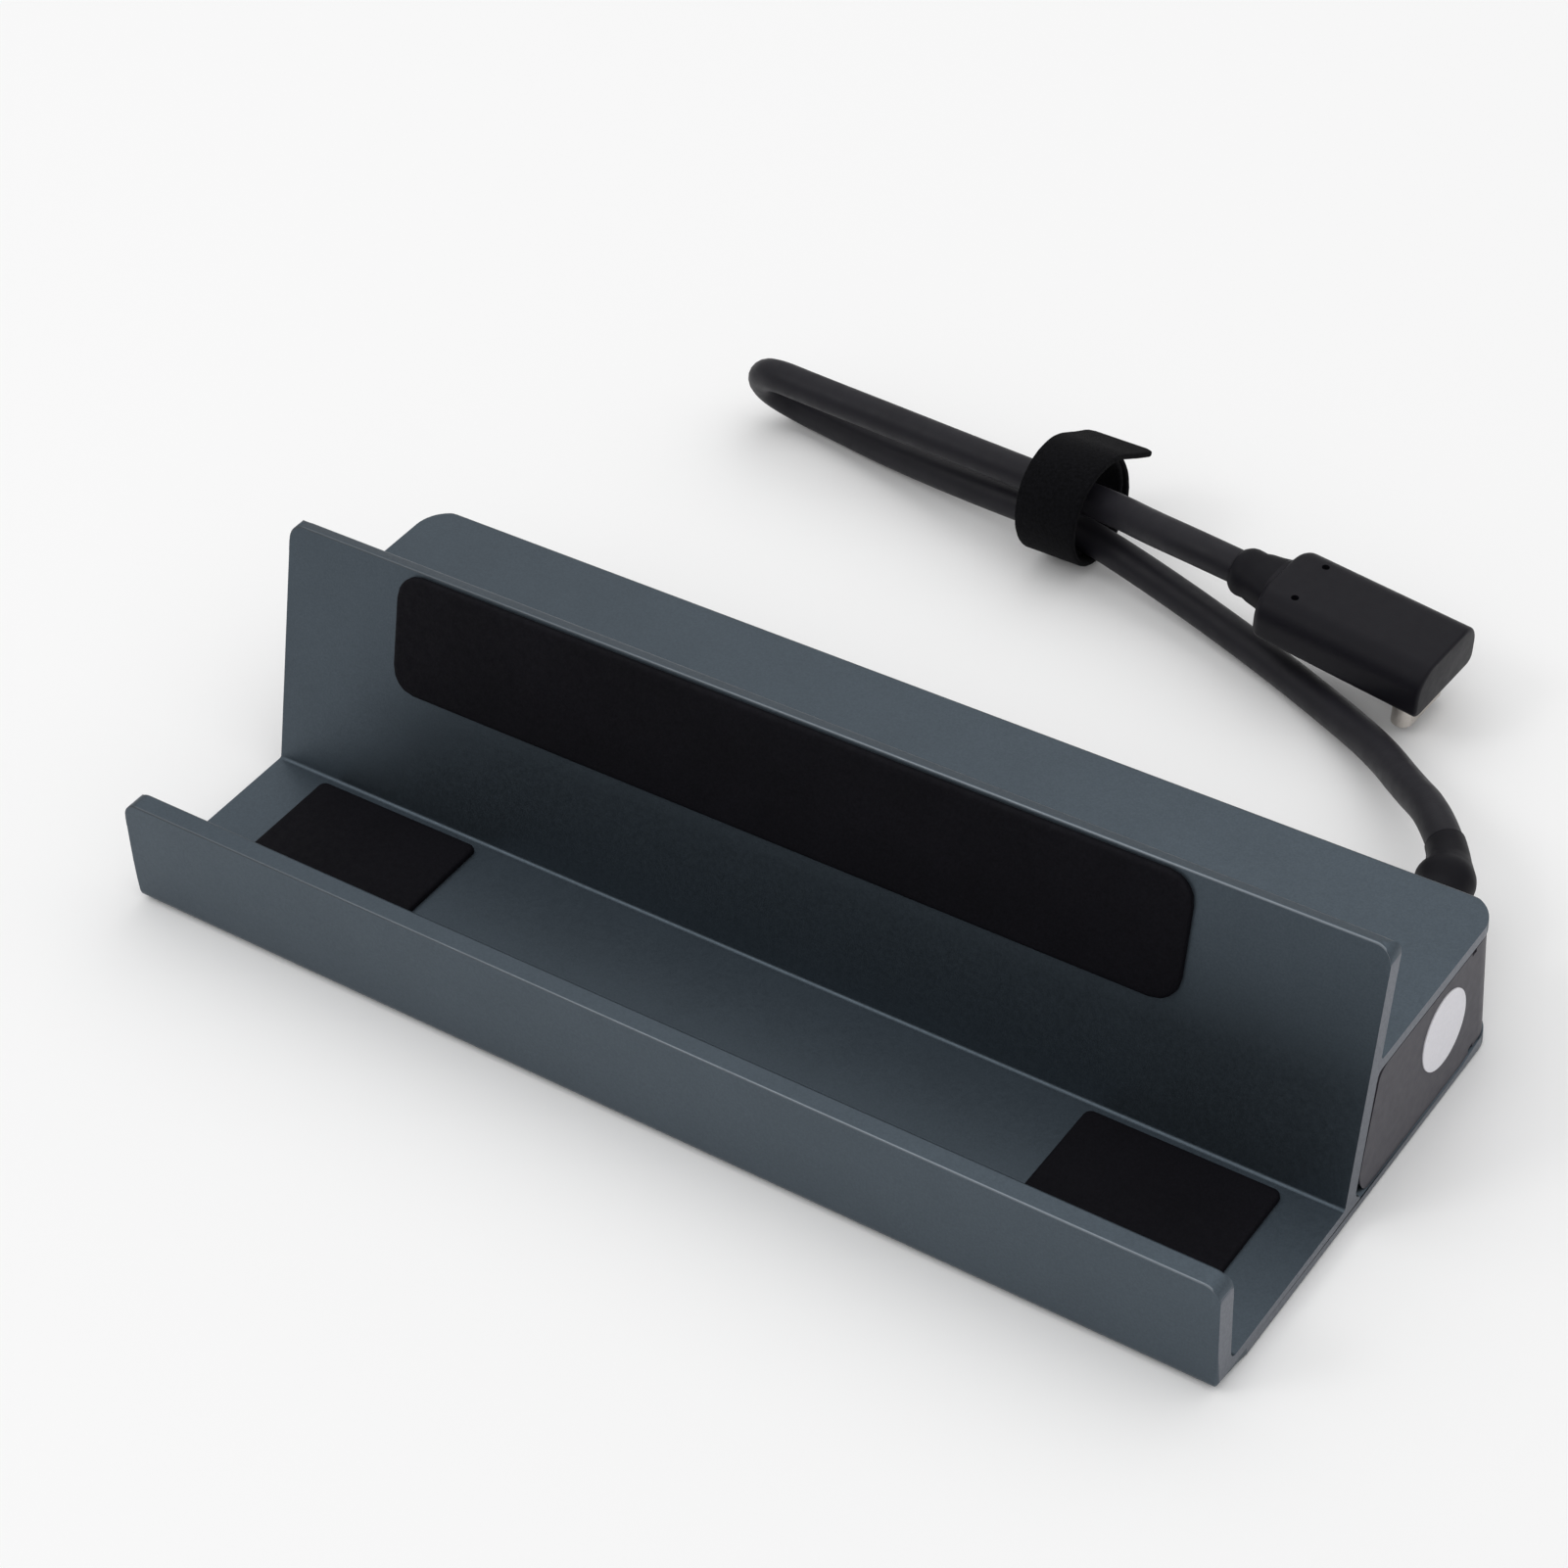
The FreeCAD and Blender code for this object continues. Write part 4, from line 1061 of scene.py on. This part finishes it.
def strap_winding(side, up, leave):
    """Places of the band's two turns round the cable, each with its outward direction."""
    outer = STRAP_RADIUS - STRAP_LAYER / 2
    inner = outer - STRAP_LAYER - STRAP_WINDING["layer_gap"]
    bulge_angle = math.radians(STRAP_WINDING["bulge_angle"])
    start = leave + 4 * math.pi
    steps = 150
    path = []
    for index in range(steps + 1):
        share = index / steps
        angle = start + (leave - start) * share
        settle = limited((share - STRAP_WINDING["outer_start"]) / STRAP_WINDING["outer_share"])
        radius = inner + (outer - inner) * settle * settle * (3 - 2 * settle)
        radius -= STRAP_WINDING["pressed_below"] * max(0.0, -math.sin(angle)) ** 2
        radius += STRAP_WINDING["bulge"] * max(0.0, math.cos(angle - bulge_angle)) ** 3
        wave = noise(Vector((math.cos(angle) * 2, math.sin(angle) * 2, share * 6)))
        outward = side * math.cos(angle) + up * math.sin(angle)
        path.append((STRAP_CENTRE + outward * (radius + STRAP_WINDING["ripple"] * wave), outward))
    return path


def strap_tail(last, outward, away):
    """Places of the free end, which leaves the winding straight and lifts a little."""
    steps = 14
    path = []
    for index in range(1, steps + 1):
        distance = STRAP_TAIL["length"] * index / steps
        lift = STRAP_TAIL["lift"] * distance * distance
        path.append((last + away * distance + outward * lift, outward))
    return path


def strap_sections(path, axis):
    """Sections of the band from its free end, where it is wider and has rounded corners."""
    thick = STRAP_LAYER / 2
    sections = []
    to_end = 0.0
    for index in range(len(path) - 1, -1, -1):
        centre, outward = path[index]
        if index < len(path) - 1:
            to_end += (path[index + 1][0] - centre).length
        near_end = max(0.0, 1 - to_end / STRAP_TAIL["corner"])
        widen = STRAP_TAIL["widen"] * max(0.0, 1 - to_end / STRAP_TAIL["widen_start"]) ** 0.8
        corner = STRAP_TAIL["corner"] * (1 - math.sqrt(1 - near_end * near_end))
        reach = STRAP_WIDTH / 2 + widen / 2 - corner
        wave = noise(Vector((to_end * 1.3, 3.0, 0.0)))
        middle = widen / 2 + STRAP_TAIL["ripple"] * wave
        sections.append([
            centre + axis * (middle + u) + outward * v
            for u, v in section_points(reach, -thick, thick, STRAP_EDGE, STRAP_EDGE, steps=3)
        ])
    return sections


def make_strap(material):
    """Hook-and-loop strap: a band wound twice round the cable, with a short tail that leaves at the top."""
    axis, side = strap_directions()
    up = Vector((0, 0, 1))
    leave = math.radians(90.0 - STRAP_TAIL["droop"])
    away = side * math.sin(leave) - up * math.cos(leave)
    path = strap_winding(side, up, leave)
    path += strap_tail(*path[-1], away)
    mesh = finish_mesh(skin(strap_sections(path, axis)), "cable_tie_band", angle=50.0)
    return new_piece("cable_tie_band", mesh, material, ["cable_strap"])


# Stage, light and camera


def make_floor():
    """Plain pale floor that reads as white background away from the shadow."""
    bpy.ops.mesh.primitive_plane_add(size=6.0, location=(0, 0, 0))
    floor = bpy.context.object
    floor.name = "floor"
    surface = bpy.data.materials.new("floor")
    surface.use_nodes = True
    shader = surface.node_tree.nodes["Principled BSDF"]
    shader.inputs["Base Color"].default_value = (0.95, 0.95, 0.95, 1.0)
    shader.inputs["Roughness"].default_value = 0.8
    shader.inputs["Specular IOR Level"].default_value = 0.1
    floor.data.materials.append(surface)


def make_world():
    """White light all round: strongest nearly overhead, and weakest at the horizon and below it."""
    world = bpy.data.worlds.new("studio")
    world.use_nodes = True
    nodes = world.node_tree.nodes
    links = world.node_tree.links
    direction = nodes.new("ShaderNodeTexCoord").outputs["Generated"]
    towards = nodes.new("ShaderNodeVectorMath")
    towards.operation = "DOT_PRODUCT"
    towards.inputs[1].default_value = BRIGHTEST_SKY
    links.new(direction, towards.inputs[0])
    strength = nodes.new("ShaderNodeMapRange")
    strength.inputs["From Min"].default_value = 0.0
    strength.inputs["From Max"].default_value = 1.0
    strength.inputs["To Min"].default_value = HORIZON_STRENGTH
    strength.inputs["To Max"].default_value = OVERHEAD_STRENGTH
    links.new(towards.outputs["Value"], strength.inputs["Value"])
    background = nodes["Background"]
    background.inputs["Color"].default_value = (1.0, 1.0, 1.0, 1.0)
    links.new(strength.outputs["Result"], background.inputs["Strength"])
    bpy.context.scene.world = world


def add_lamp(name, place, size, power):
    """Square soft lamp that faces the dock."""
    data = bpy.data.lights.new(name, "AREA")
    data.shape = "SQUARE"
    data.size = size
    data.energy = power
    lamp = bpy.data.objects.new(name, data)
    lamp.location = place
    lamp.rotation_euler = (Vector(LAMP_TARGET) - Vector(place)).to_track_quat("-Z", "Y").to_euler()
    bpy.context.scene.collection.objects.link(lamp)


def make_lights():
    """Two soft lamps: a broad one behind the dock, and a smaller, stronger one at its front left."""
    add_lamp("key", place=(-0.1, 0.55, 0.62), size=0.5, power=0.2)
    add_lamp("fill", place=(-0.4, -0.42, 0.62), size=0.25, power=0.6)


def make_camera():
    """Camera at the photograph's place."""
    right = Vector(CAMERA_RIGHT).normalized()
    up = Vector(CAMERA_UP).normalized()
    back = right.cross(up)
    data = bpy.data.cameras.new("camera")
    data.lens = CAMERA_LENS
    data.sensor_width = 36.0
    data.clip_start = 0.01
    camera = bpy.data.objects.new("camera", data)
    turn = Matrix((right, up, back)).transposed().to_4x4()
    camera.matrix_world = Matrix.Translation(CAMERA_PLACE) @ turn
    bpy.context.scene.collection.objects.link(camera)
    bpy.context.scene.camera = camera


# The scene

make_camera()
make_world()
make_lights()
make_floor()
materials = make_materials()
paint_nodes(materials)
make_profile(materials)
make_tray(materials["housing_plastic"])
make_pads(materials["pad_rubber"])
make_dock_relief(materials["relief_rubber"])
cable = make_cable(materials["jacket_rubber"])
plug = make_plug_body(materials["plug_plastic"])
neck = make_plug_neck(materials["relief_rubber"])
shell = shortened_plug_part("plug_steel_shell", "plug_shell", materials["plug_steel"])
insert = shortened_plug_part("plug_tongue", "plug_insert", materials["tongue_plastic"])
strap = make_strap(materials["strap_cloth"])
bpy.context.scene.view_settings.view_transform = "Standard"
